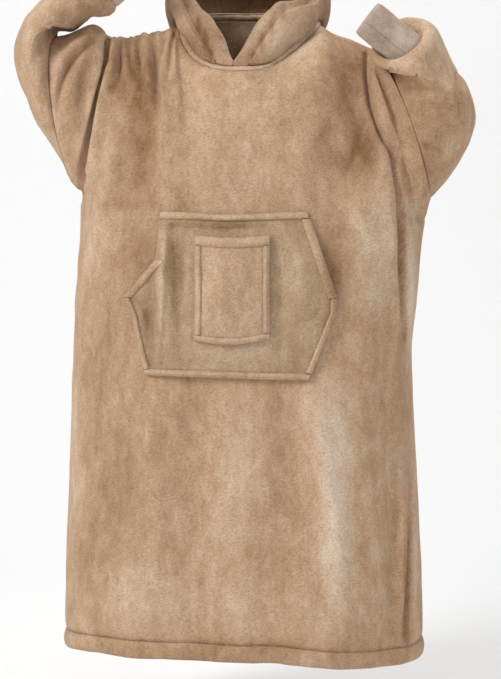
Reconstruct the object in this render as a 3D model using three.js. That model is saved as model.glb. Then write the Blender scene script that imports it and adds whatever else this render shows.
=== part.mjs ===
// Wearable blanket: an oversized hooded pullover in plush double-layer fleece, with both sleeves
// raised and bent. All the cloth is a thin wall that keeps the worn, hollow form.
// Frame: millimetres, +X to the viewer's right, +Y to the back, +Z up. The origin is the centre of
// the neck at shoulder height, the point the garment hangs from.
// Pieces named left are on the -X side, pieces named right on the +X side.
import * as THREE from 'three';

// Cloth thicknesses and gaps
const PLUSH = 4.0;
const HOOD_PLUSH = 3.6;
const KNIT = 2.6;
const SEAM_GAP = 0.3;
const HALF_GAP = 0.2;
const ARMHOLE_GAP = 1.0;

// Driving sizes of the body
const HEM_BAND_HEIGHT = 23;
const HEM_PROUD = 1.2;
const BODY_COLUMNS = 32;
const LOWER_ROWS = 8;
const UPPER_ROWS = 9;
const RING_COLUMNS = 24;
const SLEEVE_STEPS = 16;
const ROUNDNESS = 0.8;
const NECK_FIRST_COLUMN = 10;
const NECK_LAST_COLUMN = 22;

// Body sections from the hem to the underarm, half a ring in front and half behind
const bodySections = [
  { z: -905, left: -264, right: 266, front: 186, back: 150 },
  { z: -838, left: -262, right: 266, front: 181, back: 148 },
  { z: -688, left: -258, right: 259, front: 172, back: 142 },
  { z: -539, left: -252, right: 251, front: 165, back: 135 },
  { z: -464, left: -248, right: 248, front: 162, back: 131 },
  { z: -390, left: -245, right: 255, front: 158, back: 127 },
  { z: -300, left: -238, right: 262, front: 151, back: 122 },
  { z: -238, left: -236.5, right: 273, front: 146, back: 118 },
];

// Height of the lower edge round the hem, by turn from the left side seam over the front
const hemLevels = [
  { turn: 0, z: -898 },
  { turn: 45, z: -886 },
  { turn: 90, z: -890 },
  { turn: 130, z: -905 },
  { turn: 180, z: -909 },
  { turn: 225, z: -906 },
  { turn: 270, z: -902 },
  { turn: 315, z: -899 },
  { turn: 360, z: -898 },
];

// Armholes: a slanted loop from the underarm to its top, with its reach to the front and back
const armholes = {
  left: { under: [-236.5, 0, -232], top: [-269, -20, -4], front: 84, back: 74, bow: -18 },
  right: { under: [273, 0, -245], top: [207, -28, -54], front: 90, back: 70, bow: 4 },
};

// Shoulder seams, from the armhole's top to the neck
const shoulderLeft = [
  [-269, -20, -4],
  [-258, -26, -5],
  [-238, -32, 3],
  [-217, -32, 11],
  [-205, -24, 5],
  [-197, -12, -12],
  [-188, -4, -7],
  [-165, 2, -5],
  [-133, 5, 2],
  [-95, 6, 12],
];
const shoulderRight = [
  [115, 6, 15],
  [136, -2, -4],
  [159, -8, -11],
  [176, -14, -19],
  [190, -20, -27],
  [207, -28, -54],
];

// Neck seam round the neck's centre: angle 0 is the front, the left side is negative
const NECK_CENTRE = [8, -5];
const neckSeam = [
  { angle: -180, radius: 77, z: 28 },
  { angle: -152, radius: 82, z: 28 },
  { angle: -125, radius: 95, z: 24 },
  { angle: -96, radius: 97, z: 9 },
  { angle: -77, radius: 91, z: -22 },
  { angle: -53, radius: 84, z: -44 },
  { angle: -33, radius: 84, z: -54 },
  { angle: -15, radius: 83, z: -58 },
  { angle: 16, radius: 79, z: -54 },
  { angle: 45, radius: 78, z: -33 },
  { angle: 67, radius: 84, z: -12 },
  { angle: 86, radius: 97, z: 9 },
  { angle: 98, radius: 101, z: 15 },
  { angle: 125, radius: 97, z: 24 },
  { angle: 152, radius: 82, z: 28 },
  { angle: 180, radius: 77, z: 28 },
];
const V_ANGLE = -15;
const NECK_LIP_WIDTH = 8;
const NECK_LIP_HEIGHT = 5;

// Largest folds of the body: soft troughs (positive depth) and ridges (negative depth)
const frontFolds = [
  { x0: -194, z0: -10, x1: -236, z1: -240, width: 17, depth: 24 },
  { x0: 186, z0: -40, x1: 240, z1: -215, width: 15, depth: 16 },
  { x0: 165, z0: -80, x1: 128, z1: -215, width: 30, depth: 10 },
  { x0: -60, z0: -560, x1: -64, z1: -890, width: 34, depth: 9 },
  { x0: 60, z0: -600, x1: 40, z1: -890, width: 28, depth: 7 },
  { x0: 118, z0: -540, x1: 122, z1: -900, width: 34, depth: -9 },
  { x0: -150, z0: -620, x1: -160, z1: -890, width: 30, depth: -6 },
  { x0: 205, z0: -420, x1: 210, z1: -890, width: 20, depth: 8 },
];
const backFolds = [
  { x0: -194, z0: -10, x1: -232, z1: -240, width: 18, depth: 20 },
  { x0: 188, z0: -40, x1: 240, z1: -220, width: 18, depth: 18 },
  { x0: -90, z0: -420, x1: -110, z1: -890, width: 36, depth: 10 },
  { x0: 20, z0: -500, x1: 10, z1: -890, width: 34, depth: -9 },
  { x0: 120, z0: -400, x1: 130, z1: -890, width: 36, depth: 10 },
];
const FOLD_END = 55;

// Sleeve sections as rings: outer and inner point in the front view, reach to front and back, and
// tilt, by which the front of the ring lags behind its back
const leftSleeveRings = [
  { outX: -265, outY: -4, outZ: -182, inX: -268, inY: -22, inZ: -2, front: 88, back: 76, tilt: 0, bow: 20 },
  { outX: -291, outY: -8, outZ: -133, inX: -266, inY: -23, inZ: 0, front: 90, back: 78, tilt: 0, bow: 20 },
  { outX: -316, outY: -12, outZ: -86, inX: -262, inY: -24, inZ: 1, front: 90, back: 78, tilt: 0, bow: 14 },
  { outX: -332, outY: -16, outZ: -44, inX: -256, inY: -25, inZ: 4, front: 88, back: 76, tilt: 2, bow: 6 },
  { outX: -325, outY: -20, outZ: -5, inX: -247, inY: -26, inZ: 5, front: 84, back: 70, tilt: 4, bow: 0 },
  { outX: -303, outY: -26, outZ: 32, inX: -236, inY: -28, inZ: 11, front: 78, back: 62, tilt: 6, bow: 0 },
  { outX: -280, outY: -32, outZ: 56, inX: -221, inY: -32, inZ: 17, front: 70, back: 54, tilt: 6, bow: 0 },
  { outX: -260, outY: -38, outZ: 76, inX: -205, inY: -38, inZ: 18, front: 60, back: 48, tilt: 4, bow: 0 },
  { outX: -241, outY: -42, outZ: 87, inX: -192, inY: -44, inZ: 20, front: 48, back: 42, tilt: 2, bow: 0 },
  { outX: -223, outY: -44, outZ: 90, inX: -181, inY: -48, inZ: 31, front: 34, back: 32, tilt: 0, bow: 0 },
];
const rightSleeveRings = [
  { outX: 302, outY: -6, outZ: -210, inX: 210, inY: -36, inZ: -52.5, front: 85, back: 72, tilt: 0, bow: 0 },
  { outX: 326, outY: -12, outZ: -170, inX: 209, inY: -49, inZ: -52, front: 83, back: 76, tilt: 2, bow: 0 },
  { outX: 338, outY: -18, outZ: -124, inX: 206, inY: -63, inZ: -51.5, front: 84, back: 80, tilt: 6, bow: 0 },
  { outX: 327, outY: -24, outZ: -84, inX: 202, inY: -74, inZ: -51.5, front: 80, back: 78, tilt: 10, bow: 0 },
  { outX: 306, outY: -30, outZ: -50, inX: 197, inY: -82, inZ: -51, front: 72, back: 70, tilt: 18, bow: 0 },
  { outX: 289, outY: -36, outZ: -18, inX: 190, inY: -87, inZ: -50, front: 64, back: 60, tilt: 26, bow: 0 },
  { outX: 273, outY: -42, outZ: 7, inX: 185, inY: -90, inZ: -47, front: 56, back: 50, tilt: 30, bow: 0 },
  { outX: 261, outY: -47, outZ: 10, inX: 189, inY: -90, inZ: -40, front: 48, back: 42, tilt: 28, bow: 0 },
  { outX: 256, outY: -52, outZ: 1, inX: 200, inY: -88, inZ: -43, front: 39, back: 36, tilt: 16, bow: 0 },
  { outX: 259, outY: -56, outZ: -11, inX: 221, inY: -86, inZ: -59, front: 31, back: 31, tilt: 3, bow: 0 },
];

// Cuffs: straight knitted tubes from the sleeve's end to the wrist edge
const cuffs = {
  left: { rings: 3, length: 74, direction: [0.8, -0.05, 0.6], wristScale: 0.97 },
  right: { rings: 3, length: 80, direction: [-0.78, -0.04, 0.62], wristScale: 0.98 },
};

// Hood, down on the back: each section runs from the neck seam out and under, over the top and
// into the groove beside the face-edge band, then over the band to its rim
const hoodLeftSections = [
  { angle: -33, underR: 86, underZ: -51, lowR: 87.5, lowZ: -49.5, outR: 88.8, outZ: -47.6,
    topR: 88.6, topZ: -46, dipR: 87, dipZ: -45, bandR: 76, bandZ: -31, rimR: 58, rimZ: -18 },
  { angle: -53, underR: 88, underZ: -38, lowR: 93, lowZ: -30, outR: 94, outZ: -20,
    topR: 90, topZ: -11, dipR: 81, dipZ: -15, bandR: 73, bandZ: 1, rimR: 56, rimZ: 6 },
  { angle: -77, underR: 97, underZ: -9, lowR: 102, lowZ: -1, outR: 101, outZ: 7,
    topR: 93, topZ: 16, dipR: 80, dipZ: 8, bandR: 70, bandZ: 22, rimR: 55, rimZ: 21 },
  { angle: -100, underR: 105, underZ: 22, lowR: 112, lowZ: 28, outR: 116, outZ: 34,
    topR: 109, topZ: 47, dipR: 96, dipZ: 43, bandR: 85, bandZ: 51, rimR: 75, rimZ: 40 },
  { angle: -125, underR: 112, underZ: 20, lowR: 130, lowZ: 0, outR: 147, outZ: 26,
    topR: 145, topZ: 76, dipR: 129, dipZ: 80, bandR: 119, bandZ: 82, rimR: 111, rimZ: 66 },
  { angle: -152, underR: 107, underZ: 20, lowR: 138, lowZ: -66, outR: 168, outZ: -14,
    topR: 163, topZ: 74, dipR: 147, dipZ: 84, bandR: 138, bandZ: 85, rimR: 130, rimZ: 68 },
  { angle: -180, underR: 106, underZ: 20, lowR: 146, lowZ: -112, outR: 180, outZ: -40,
    topR: 170, topZ: 68, dipR: 154, dipZ: 80, bandR: 144, bandZ: 82, rimR: 136, rimZ: 65 },
];
const hoodRightSections = [
  { angle: 2, underR: 82.5, underZ: -52.2, lowR: 84, lowZ: -50.8, outR: 85, outZ: -49.4,
    topR: 84.6, topZ: -48, dipR: 82.5, dipZ: -47, bandR: 74, bandZ: -28, rimR: 58, rimZ: -8 },
  { angle: 16, underR: 84, underZ: -48, lowR: 88, lowZ: -40, outR: 88, outZ: -30,
    topR: 84, topZ: -20, dipR: 75, dipZ: -17, bandR: 66, bandZ: 2, rimR: 50, rimZ: 12 },
  { angle: 45, underR: 83, underZ: -26, lowR: 92, lowZ: -12, outR: 93, outZ: 6,
    topR: 84, topZ: 24, dipR: 69, dipZ: 23, bandR: 58, bandZ: 36, rimR: 45, rimZ: 31 },
  { angle: 67, underR: 92, underZ: -6, lowR: 101, lowZ: 6, outR: 102, outZ: 20,
    topR: 95, topZ: 37, dipR: 80, dipZ: 34, bandR: 70, bandZ: 43, rimR: 58, rimZ: 34 },
  { angle: 88, underR: 100, underZ: 15, lowR: 103, lowZ: 20, outR: 103, outZ: 30,
    topR: 98, topZ: 43, dipR: 86, dipZ: 41, bandR: 77, bandZ: 50, rimR: 68, rimZ: 40 },
  { angle: 110, underR: 110, underZ: 20, lowR: 122, lowZ: 22, outR: 128, outZ: 36,
    topR: 124, topZ: 62, dipR: 110, dipZ: 62, bandR: 101, bandZ: 68, rimR: 92, rimZ: 56 },
  { angle: 130, underR: 113, underZ: 20, lowR: 132, lowZ: -8, outR: 148, outZ: 22,
    topR: 144, topZ: 72, dipR: 129, dipZ: 78, bandR: 120, bandZ: 81, rimR: 112, rimZ: 65 },
  { angle: 155, underR: 107, underZ: 20, lowR: 138, lowZ: -68, outR: 169, outZ: -16,
    topR: 163, topZ: 72, dipR: 147, dipZ: 82, bandR: 138, bandZ: 84, rimR: 130, rimZ: 67 },
  { angle: 180, underR: 106, underZ: 20, lowR: 146, lowZ: -112, outR: 180, outZ: -40,
    topR: 170, topZ: 68, dipR: 154, dipZ: 80, bandR: 144, bandZ: 82, rimR: 136, rimZ: 65 },
];
const HOOD_ROWS = 15;
const HOOD_COLUMNS = 11;
const HOOD_TIP_WALL = 1.2;
const HOOD_TIP_ROWS = 3;
const BAND_ROWS = 16;
const BAND_COLUMNS = 4;

// Kangaroo pocket: side edges by height, from the bottom edge to the top edge
const pocketSides = [
  { z: -488, left: -136, right: 92 },
  { z: -470, left: -142, right: 101 },
  { z: -436, left: -150, right: 116 },
  { z: -400, left: -158, right: 131 },
  { z: -380, left: -168, right: 132 },
  { z: -326, left: -121, right: 113.5 },
  { z: -300, left: -118, right: 105 },
  { z: -262, left: -117, right: 91 },
];
// Above this level the left hand opening's edge is tucked in
const POCKET_TUCK_Z = -326;
const POCKET_CORNER_Z = -380;
const POCKET_LIFT = 1.3;
const POCKET_PUFF = 17;
const POCKET_WALL = 3;
const POCKET_COLUMNS = 12;
const POCKET_BINDING = 10;
const HAND_BINDING = 14;
const POCKET_WELT = 9;

// Phone pocket on the kangaroo pocket
const phonePocket = { left: -67, right: 38, bottom: -443, top: -293 };
const PHONE_LIFT = 1;
const PHONE_PUFF = 10;
const PHONE_ROWS = 9;
const PHONE_COLUMNS = 8;
const PHONE_WELT = 9;
const PHONE_HEM = 14;
const STRIP_HEIGHT = 2.6;
const STRIP_GAP = 0.4;
const HAND_STRIP_GAP = 1.3;
const LEFT_HAND_GAP = 0.1;

// Colours and surface of the two cloths
const PLUSH_COLOUR = 0xc1a389;
const POCKET_COLOUR = 0xa9957c;
const HOOD_COLOUR = 0xb59b80;
const KNIT_COLOUR = 0x968069;
const cloth = (color, roughness) => new THREE.MeshStandardMaterial({ color, roughness, metalness: 0 });
const plush = () => cloth(PLUSH_COLOUR, 0.95);
const pocketPlush = () => cloth(POCKET_COLOUR, 0.95);
const hoodPlush = () => cloth(HOOD_COLOUR, 0.95);
const knit = () => cloth(KNIT_COLOUR, 0.9);

const garment = new THREE.Group();
garment.name = 'wearable_blanket';

// Small helpers
const vec = (x, y, z) => new THREE.Vector3(x, y, z);
const fromList = (list) => new THREE.Vector3(...list);
const radians = THREE.MathUtils.degToRad;
const mix = (a, b, t) => a + (b - a) * t;
const range = (count) => [...Array(count).keys()];

// Smooth value of one named column of a table at a position along its key column
function column(table, key, at, name) {
  const last = table.length - 1;
  const rising = table[last][key] > table[0][key] ? 1 : -1;
  let i = 0;
  while (i < last - 1 && (at - table[i + 1][key]) * rising > 0) i += 1;
  const before = table[Math.max(i - 1, 0)];
  const here = table[i];
  const next = table[i + 1];
  const after = table[Math.min(i + 2, last)];
  const step = next[key] - here[key];
  const t = Math.min(Math.max((at - here[key]) / step, 0), 1);
  const slopeHere = ((next[name] - before[name]) / (next[key] - before[key] || 1)) * step;
  const slopeNext = ((after[name] - here[name]) / (after[key] - here[key] || 1)) * step;
  const t2 = t * t;
  const t3 = t2 * t;
  return (2 * t3 - 3 * t2 + 1) * here[name] + (t3 - 2 * t2 + t) * slopeHere
    + (3 * t2 - 2 * t3) * next[name] + (t3 - t2) * slopeNext;
}

// Straight-line value of one named column, for edges with real corners
function corner(table, key, at, name) {
  const last = table.length - 1;
  let i = 0;
  while (i < last - 1 && at > table[i + 1][key]) i += 1;
  const t = Math.min(Math.max((at - table[i][key]) / (table[i + 1][key] - table[i][key]), 0), 1);
  return mix(table[i][name], table[i + 1][name], t);
}

// Grid of outer points moved in along the surface's own normal, or along a given direction
function innerGrid(outer, wall, closed, flip, fixedDirection) {
  const rows = outer.length;
  const columns = outer[0].length;
  return outer.map((row, i) => row.map((point, j) => {
    const thickness = typeof wall === 'function' ? wall(i) : wall;
    const fixed = fixedDirection ? fixedDirection(i, j) : null;
    if (fixed) return point.clone().addScaledVector(fixed.clone().normalize(), thickness);
    const up = outer[Math.min(i + 1, rows - 1)][j];
    const down = outer[Math.max(i - 1, 0)][j];
    const right = closed ? row[(j + 1) % columns] : row[Math.min(j + 1, columns - 1)];
    const left = closed ? row[(j + columns - 1) % columns] : row[Math.max(j - 1, 0)];
    const normal = right.clone().sub(left).cross(up.clone().sub(down)).normalize();
    return point.clone().addScaledVector(normal, flip * thickness);
  }));
}

// Closed solid between an outer and an inner grid, with rims along every free edge
function clothSolid(name, material, outer, inner, closed) {
  const rows = outer.length;
  const columns = outer[0].length;
  const positions = [];
  for (const grid of [outer, inner]) {
    for (const row of grid) {
      for (const point of row) positions.push(point.x, point.y, point.z);
    }
  }
  const at = (layer, i, j) => layer * rows * columns + i * columns + (j % columns);
  const faces = [];
  const quad = (a, b, c, d) => faces.push(a, b, c, a, c, d);
  const spans = closed ? columns : columns - 1;
  for (let i = 0; i < rows - 1; i += 1) {
    for (let j = 0; j < spans; j += 1) {
      quad(at(0, i, j), at(0, i, j + 1), at(0, i + 1, j + 1), at(0, i + 1, j));
      quad(at(1, i, j), at(1, i + 1, j), at(1, i + 1, j + 1), at(1, i, j + 1));
    }
  }
  for (let j = 0; j < spans; j += 1) {
    quad(at(0, 0, j), at(1, 0, j), at(1, 0, j + 1), at(0, 0, j + 1));
    const end = rows - 1;
    quad(at(0, end, j), at(0, end, j + 1), at(1, end, j + 1), at(1, end, j));
  }
  if (!closed) {
    for (let i = 0; i < rows - 1; i += 1) {
      const end = columns - 1;
      quad(at(0, i, 0), at(0, i + 1, 0), at(1, i + 1, 0), at(1, i, 0));
      quad(at(0, i, end), at(1, i, end), at(1, i + 1, end), at(0, i + 1, end));
    }
  }
  return addSolid(name, material, positions, faces);
}

// Mesh with outward faces; a negative volume means that the faces are turned round
function addSolid(name, material, positions, faces) {
  let volume = 0;
  const corner3 = (index) => fromList(positions.slice(3 * index, 3 * index + 3));
  for (let f = 0; f < faces.length; f += 3) {
    const [a, b, c] = [corner3(faces[f]), corner3(faces[f + 1]), corner3(faces[f + 2])];
    volume += a.dot(b.cross(c));
  }
  if (volume < 0) {
    for (let f = 0; f < faces.length; f += 3) [faces[f], faces[f + 1]] = [faces[f + 1], faces[f]];
  }
  const geometry = new THREE.BufferGeometry();
  geometry.setAttribute('position', new THREE.Float32BufferAttribute(positions, 3));
  geometry.setIndex(faces);
  geometry.computeVertexNormals();
  const mesh = new THREE.Mesh(geometry, material);
  mesh.name = name;
  garment.add(mesh);
  return mesh;
}

// Neck seam point at a signed angle, moved out and up by the given amounts
function neckPoint(angle, out = 0, up = 0) {
  const radius = column(neckSeam, 'angle', angle, 'radius') + out;
  const turn = radians(angle);
  const x = NECK_CENTRE[0] + radius * Math.sin(turn);
  const y = NECK_CENTRE[1] - radius * Math.cos(turn);
  return vec(x, y, column(neckSeam, 'angle', angle, 'z') + up);
}

// Armhole loop: turn 0 is the underarm, 90 the front, 180 the top and 270 the back
function armholeFrame(side) {
  const hole = armholes[side];
  const under = fromList(hole.under);
  const top = fromList(hole.top);
  const centre = under.clone().add(top).multiplyScalar(0.5);
  const half = under.clone().sub(top).multiplyScalar(0.5);
  const toBody = vec(-half.z, 0, half.x).normalize();
  if (toBody.x * centre.x > 0) toBody.negate();
  return { hole, centre, half, toBody };
}

function armholePoint(side, turn) {
  const { hole, centre, half, toBody } = armholeFrame(side);
  const sine = Math.sin(turn);
  const reach = sine > 0 ? -hole.front : hole.back;
  const point = centre.clone().addScaledVector(half, Math.cos(turn));
  point.y += reach * Math.abs(sine);
  return point.addScaledVector(toBody, (side === 'left' ? 1 : -1) * hole.bow * Math.abs(sine));
}

function armholeInward(side, turn) {
  const { hole, half } = armholeFrame(side);
  const sine = Math.sin(turn);
  const reach = sine > 0 ? -hole.front : hole.back;
  const out = half.clone().multiplyScalar(Math.cos(turn));
  out.y += reach * Math.abs(sine);
  return out.normalize().negate();
}

// Depth of all the folds at one place, in or out along Y
function foldDepth(folds, x, z) {
  let depth = 0;
  for (const fold of folds) {
    const t = (z - fold.z0) / (fold.z1 - fold.z0);
    const along = Math.min(Math.max(t, 0), 1);
    const past = Math.abs(t - along) * Math.abs(fold.z1 - fold.z0);
    const centreX = mix(fold.x0, fold.x1, along);
    const across = (x - centreX) / fold.width;
    depth += fold.depth * Math.exp(-across * across - (past / FOLD_END) ** 2);
  }
  return depth;
}

// Share across a body section for a column: dense where the cloth turns round the sides
function acrossShare(u) {
  const cosine = Math.cos(Math.PI * u);
  return (1 - Math.sign(cosine) * Math.abs(cosine) ** ROUNDNESS) / 2;
}

function sideDepth(section, isFront) {
  return isFront ? -section.front : section.back;
}

function bodySection(z) {
  const read = (name) => column(bodySections, 'z', z, name);
  return { left: read('left'), right: read('right'), front: read('front'), back: read('back') };
}

function hemLevel(turn) {
  return column(hemLevels, 'turn', turn, 'z');
}

// Point on the lower body: u runs from the left side seam to the right one
function lowerPoint(isFront, u, z) {
  const section = bodySection(z);
  const x = mix(section.left, section.right, acrossShare(u));
  const swell = Math.abs(Math.sin(Math.PI * u)) ** ROUNDNESS;
  const folds = foldDepth(isFront ? frontFolds : backFolds, x, z) * Math.min(1, 1.6 * swell);
  const y = sideDepth(section, isFront) * swell + (isFront ? folds : -folds);
  return vec(x, y, z);
}

const LEFT_UNDERARM = armholes.left.under[2];
const RIGHT_UNDERARM = armholes.right.under[2];
const underarmLevel = (u) => mix(LEFT_UNDERARM, RIGHT_UNDERARM, acrossShare(u));

// Curve through listed points, sampled by share of its length
function curveThrough(points) {
  return new THREE.CatmullRomCurve3(points.map(fromList), false, 'centripetal');
}
const leftShoulderCurve = curveThrough(shoulderLeft);
const rightShoulderCurve = curveThrough(shoulderRight);

// Neck angles where the shoulder seams end
const LEFT_NECK_ANGLE = -99;
const RIGHT_NECK_ANGLE = 98;

// Upper edge of the front or back panel: shoulder seam, neckline, shoulder seam
function topEdge(isFront, u) {
  const first = NECK_FIRST_COLUMN / BODY_COLUMNS;
  const last = NECK_LAST_COLUMN / BODY_COLUMNS;
  if (u <= first) {
    const point = leftShoulderCurve.getPointAt(u / first);
    return point.lerp(panelNeck(isFront, 0), (u / first) ** 4);
  }
  if (u >= last) {
    const share = (u - last) / (1 - last);
    const point = rightShoulderCurve.getPointAt(share);
    return point.lerp(panelNeck(isFront, 1), (1 - share) ** 4);
  }
  return panelNeck(isFront, (u - first) / (last - first));
}

// Neckline edge of a panel, just outside the raised neck seam
function panelNeck(isFront, share) {
  const away = NECK_LIP_WIDTH / 2 + SEAM_GAP + 0.2;
  const turnBack = isFront ? 0 : 360;
  const leftAngle = LEFT_NECK_ANGLE + turnBack;
  let angle = mix(leftAngle, RIGHT_NECK_ANGLE, share);
  if (angle > 180) angle -= 360;
  return neckPoint(angle, away, -1.5);
}

// Point on the upper body: row share v runs from the underarm to the top edge
function upperPoint(isFront, u, v) {
  const top = topEdge(isFront, u);
  const base = lowerPoint(isFront, u, underarmLevel(u));
  const neckNess = Math.sin(Math.PI * Math.min(Math.max((u - 0.28) / 0.38, 0), 1)) ** 2;
  const lastTurn = radians(90 - (isFront ? 38 : 12) * neckNess);
  const turn = lastTurn * v;
  const rise = Math.sin(turn) / Math.sin(lastTurn);
  const run = (Math.cos(turn) - Math.cos(lastTurn)) / (1 - Math.cos(lastTurn));
  const z = mix(base.z, top.z, rise);
  const x = mix(base.x, top.x, rise);
  const swell = Math.abs(Math.sin(Math.PI * u)) ** ROUNDNESS;
  const section = bodySection(z);
  const level = sideDepth(section, isFront) * swell;
  const folds = foldDepth(isFront ? frontFolds : backFolds, x, z) * Math.min(1, 1.6 * swell) * run ** 0.5;
  const y = mix(top.y, level, run) + (isFront ? folds : -folds);
  return vec(x, y, z);
}

const ARMHOLE_BLEND = 0.3;
const blendWeight = (share) => Math.max(0, 1 - share / ARMHOLE_BLEND) ** 2;

// Turn on the armhole that a row share of the panel meets
function armholeTurn(isFront, v) {
  const rise = Math.sin(radians(90) * v);
  const turn = Math.acos(1 - 2 * rise);
  return isFront ? turn : -turn;
}

function panelPoint(isFront, u, v) {
  const point = upperPoint(isFront, u, v);
  const turn = armholeTurn(isFront, v);
  for (const [side, at, share] of [['left', 0, u], ['right', 1, 1 - u]]) {
    const weight = blendWeight(share);
    if (weight > 0) {
      const { toBody } = armholeFrame(side);
      const target = armholePoint(side, turn).addScaledVector(toBody, ARMHOLE_GAP);
      const miss = target.sub(upperPoint(isFront, at, v));
      point.addScaledVector(miss, weight);
    }
  }
  return point;
}

// Front and back panels
function bodyPanel(isFront, name) {
  const outer = [];
  for (const i of range(LOWER_ROWS)) {
    const v = i / LOWER_ROWS;
    outer.push(range(BODY_COLUMNS + 1).map((j) => {
      const u = j / BODY_COLUMNS;
      const hem = hemLevel(isFront ? 180 * u : 360 - 180 * u) + HEM_BAND_HEIGHT;
      return lowerPoint(isFront, u, mix(hem, underarmLevel(u), v));
    }));
  }
  for (const i of range(UPPER_ROWS + 1)) {
    const v = i / UPPER_ROWS;
    outer.push(range(BODY_COLUMNS + 1).map((j) => panelPoint(isFront, j / BODY_COLUMNS, v)));
  }
  const seamShift = isFront ? -HALF_GAP : HALF_GAP;
  const topRow = outer.length - 1;
  const isShoulder = (j) => j <= NECK_FIRST_COLUMN || j >= NECK_LAST_COLUMN;
  outer.forEach((row, i) => row.forEach((point, j) => {
    const onSide = (j === 0 || j === BODY_COLUMNS) && i <= LOWER_ROWS;
    const onShoulder = i === topRow && isShoulder(j);
    if (onSide || onShoulder) point.y += seamShift;
  }));
  const direction = (i, j) => {
    const side = j === 0 ? 'left' : 'right';
    const onSide = j === 0 || j === BODY_COLUMNS;
    const sideways = vec(j === 0 ? 1 : -1, 0, 0);
    if (onSide && i < LOWER_ROWS) return sideways;
    if (onSide && i === LOWER_ROWS) return sideways.add(vec(0, 0, 0.6));
    if (i === topRow) return vec(0, 0, -1);
    if (onSide) return armholeInward(side, armholeTurn(isFront, (i - LOWER_ROWS) / UPPER_ROWS));
    return null;
  };
  const inner = innerGrid(outer, PLUSH, false, isFront ? -1 : 1, direction);
  clothSolid(name, plush(), outer, inner, false);
  return outer;
}
const frontGrid = bodyPanel(true, 'front_panel');
bodyPanel(false, 'back_panel');

// Hem band: one raised ring of turned-up cloth below both panels
function hemBand() {
  const rows = 3;
  const outer = range(rows + 1).map((i) => range(2 * BODY_COLUMNS).map((j) => {
    const isFront = j <= BODY_COLUMNS;
    const u = isFront ? j / BODY_COLUMNS : 2 - j / BODY_COLUMNS;
    const turn = (180 * j) / BODY_COLUMNS;
    const low = hemLevel(turn);
    const z = mix(low, low + HEM_BAND_HEIGHT - SEAM_GAP - 0.1, i / rows);
    const point = lowerPoint(isFront, u, z);
    const puff = HEM_PROUD * Math.sin((Math.PI * i) / rows);
    const out = vec(Math.sign(u - 0.5) * Math.abs(Math.cos(Math.PI * u)), 0, 0);
    out.y = (isFront ? -1 : 1) * Math.sin(Math.PI * u);
    return point.addScaledVector(out, puff);
  }));
  const inner = innerGrid(outer, PLUSH + 1, true, -1, null);
  clothSolid('hem_band', plush(), outer, inner, true);
}
hemBand();

// Sleeves: rings from the armhole seam to the cuff
function sleeveRing(ring, turn, pathSense) {
  const outer = vec(ring.outX, ring.outY, ring.outZ);
  const inner = vec(ring.inX, ring.inY, ring.inZ);
  const centre = outer.clone().add(inner).multiplyScalar(0.5);
  const half = outer.clone().sub(inner).multiplyScalar(0.5);
  const path = vec(-half.z, 0, half.x).normalize().multiplyScalar(pathSense);
  const sine = Math.sin(turn);
  const reach = sine > 0 ? -ring.front : ring.back;
  const point = centre.addScaledVector(half, Math.cos(turn));
  point.y += reach * Math.abs(sine);
  return point.addScaledVector(path, ring.bow * Math.abs(sine) - ring.tilt * sine);
}

function sleeve(side, rings) {
  const pathSense = side === 'left' ? -1 : 1;
  const turns = range(RING_COLUMNS).map((j) => (2 * Math.PI * j) / RING_COLUMNS);
  const sections = [turns.map((turn) => armholePoint(side, turn))];
  for (const ring of rings) sections.push(turns.map((turn) => sleeveRing(ring, turn, pathSense)));
  const lines = turns.map((_, j) => sections.map((section) => section[j]));
  const curves = lines.map((points) => new THREE.CatmullRomCurve3(points, false, 'centripetal'));
  const outer = range(SLEEVE_STEPS + 1).map((i) => curves.map((curve) => curve.getPoint(i / SLEEVE_STEPS)));
  const last = outer.length - 1;
  const centre = outer[last].reduce((sum, p) => sum.add(p), vec(0, 0, 0)).divideScalar(RING_COLUMNS);
  const direction = (i, j) => {
    if (i === 0) return armholeInward(side, turns[j]);
    if (i === last) return centre.clone().sub(outer[last][j]);
    return null;
  };
  const inner = innerGrid(outer, PLUSH, true, side === 'left' ? -1 : 1, direction);
  clothSolid(`sleeve_${side}`, plush(), outer, inner, true);
  return { end: outer[last], centre };
}
const leftEnd = sleeve('left', leftSleeveRings);
const rightEnd = sleeve('right', rightSleeveRings);

// Cuffs: the sleeve's end ring carried on along the wrist
function cuff(side, end) {
  const { rings, length, direction, wristScale } = cuffs[side];
  const along = fromList(direction).normalize();
  const outer = range(rings + 1).map((i) => {
    const share = i / rings;
    const scale = mix(1, wristScale, share) * (1 - 0.04 * Math.sin(Math.PI * share));
    return end.end.map((point) => {
      const spoke = point.clone().sub(end.centre);
      const squared = spoke.clone().addScaledVector(along, -spoke.dot(along) * share);
      const place = end.centre.clone().addScaledVector(squared, scale);
      return place.addScaledVector(along, SEAM_GAP + 0.1 + share * length);
    });
  });
  const flip = side === 'left' ? -1 : 1;
  const direction0 = (i, j) => (i === 0 ? end.centre.clone().sub(end.end[j]) : null);
  const inner = innerGrid(outer, KNIT, true, flip, direction0);
  clothSolid(`cuff_${side}`, knit(), outer, inner, true);
}
cuff('left', leftEnd);
cuff('right', rightEnd);

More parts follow.
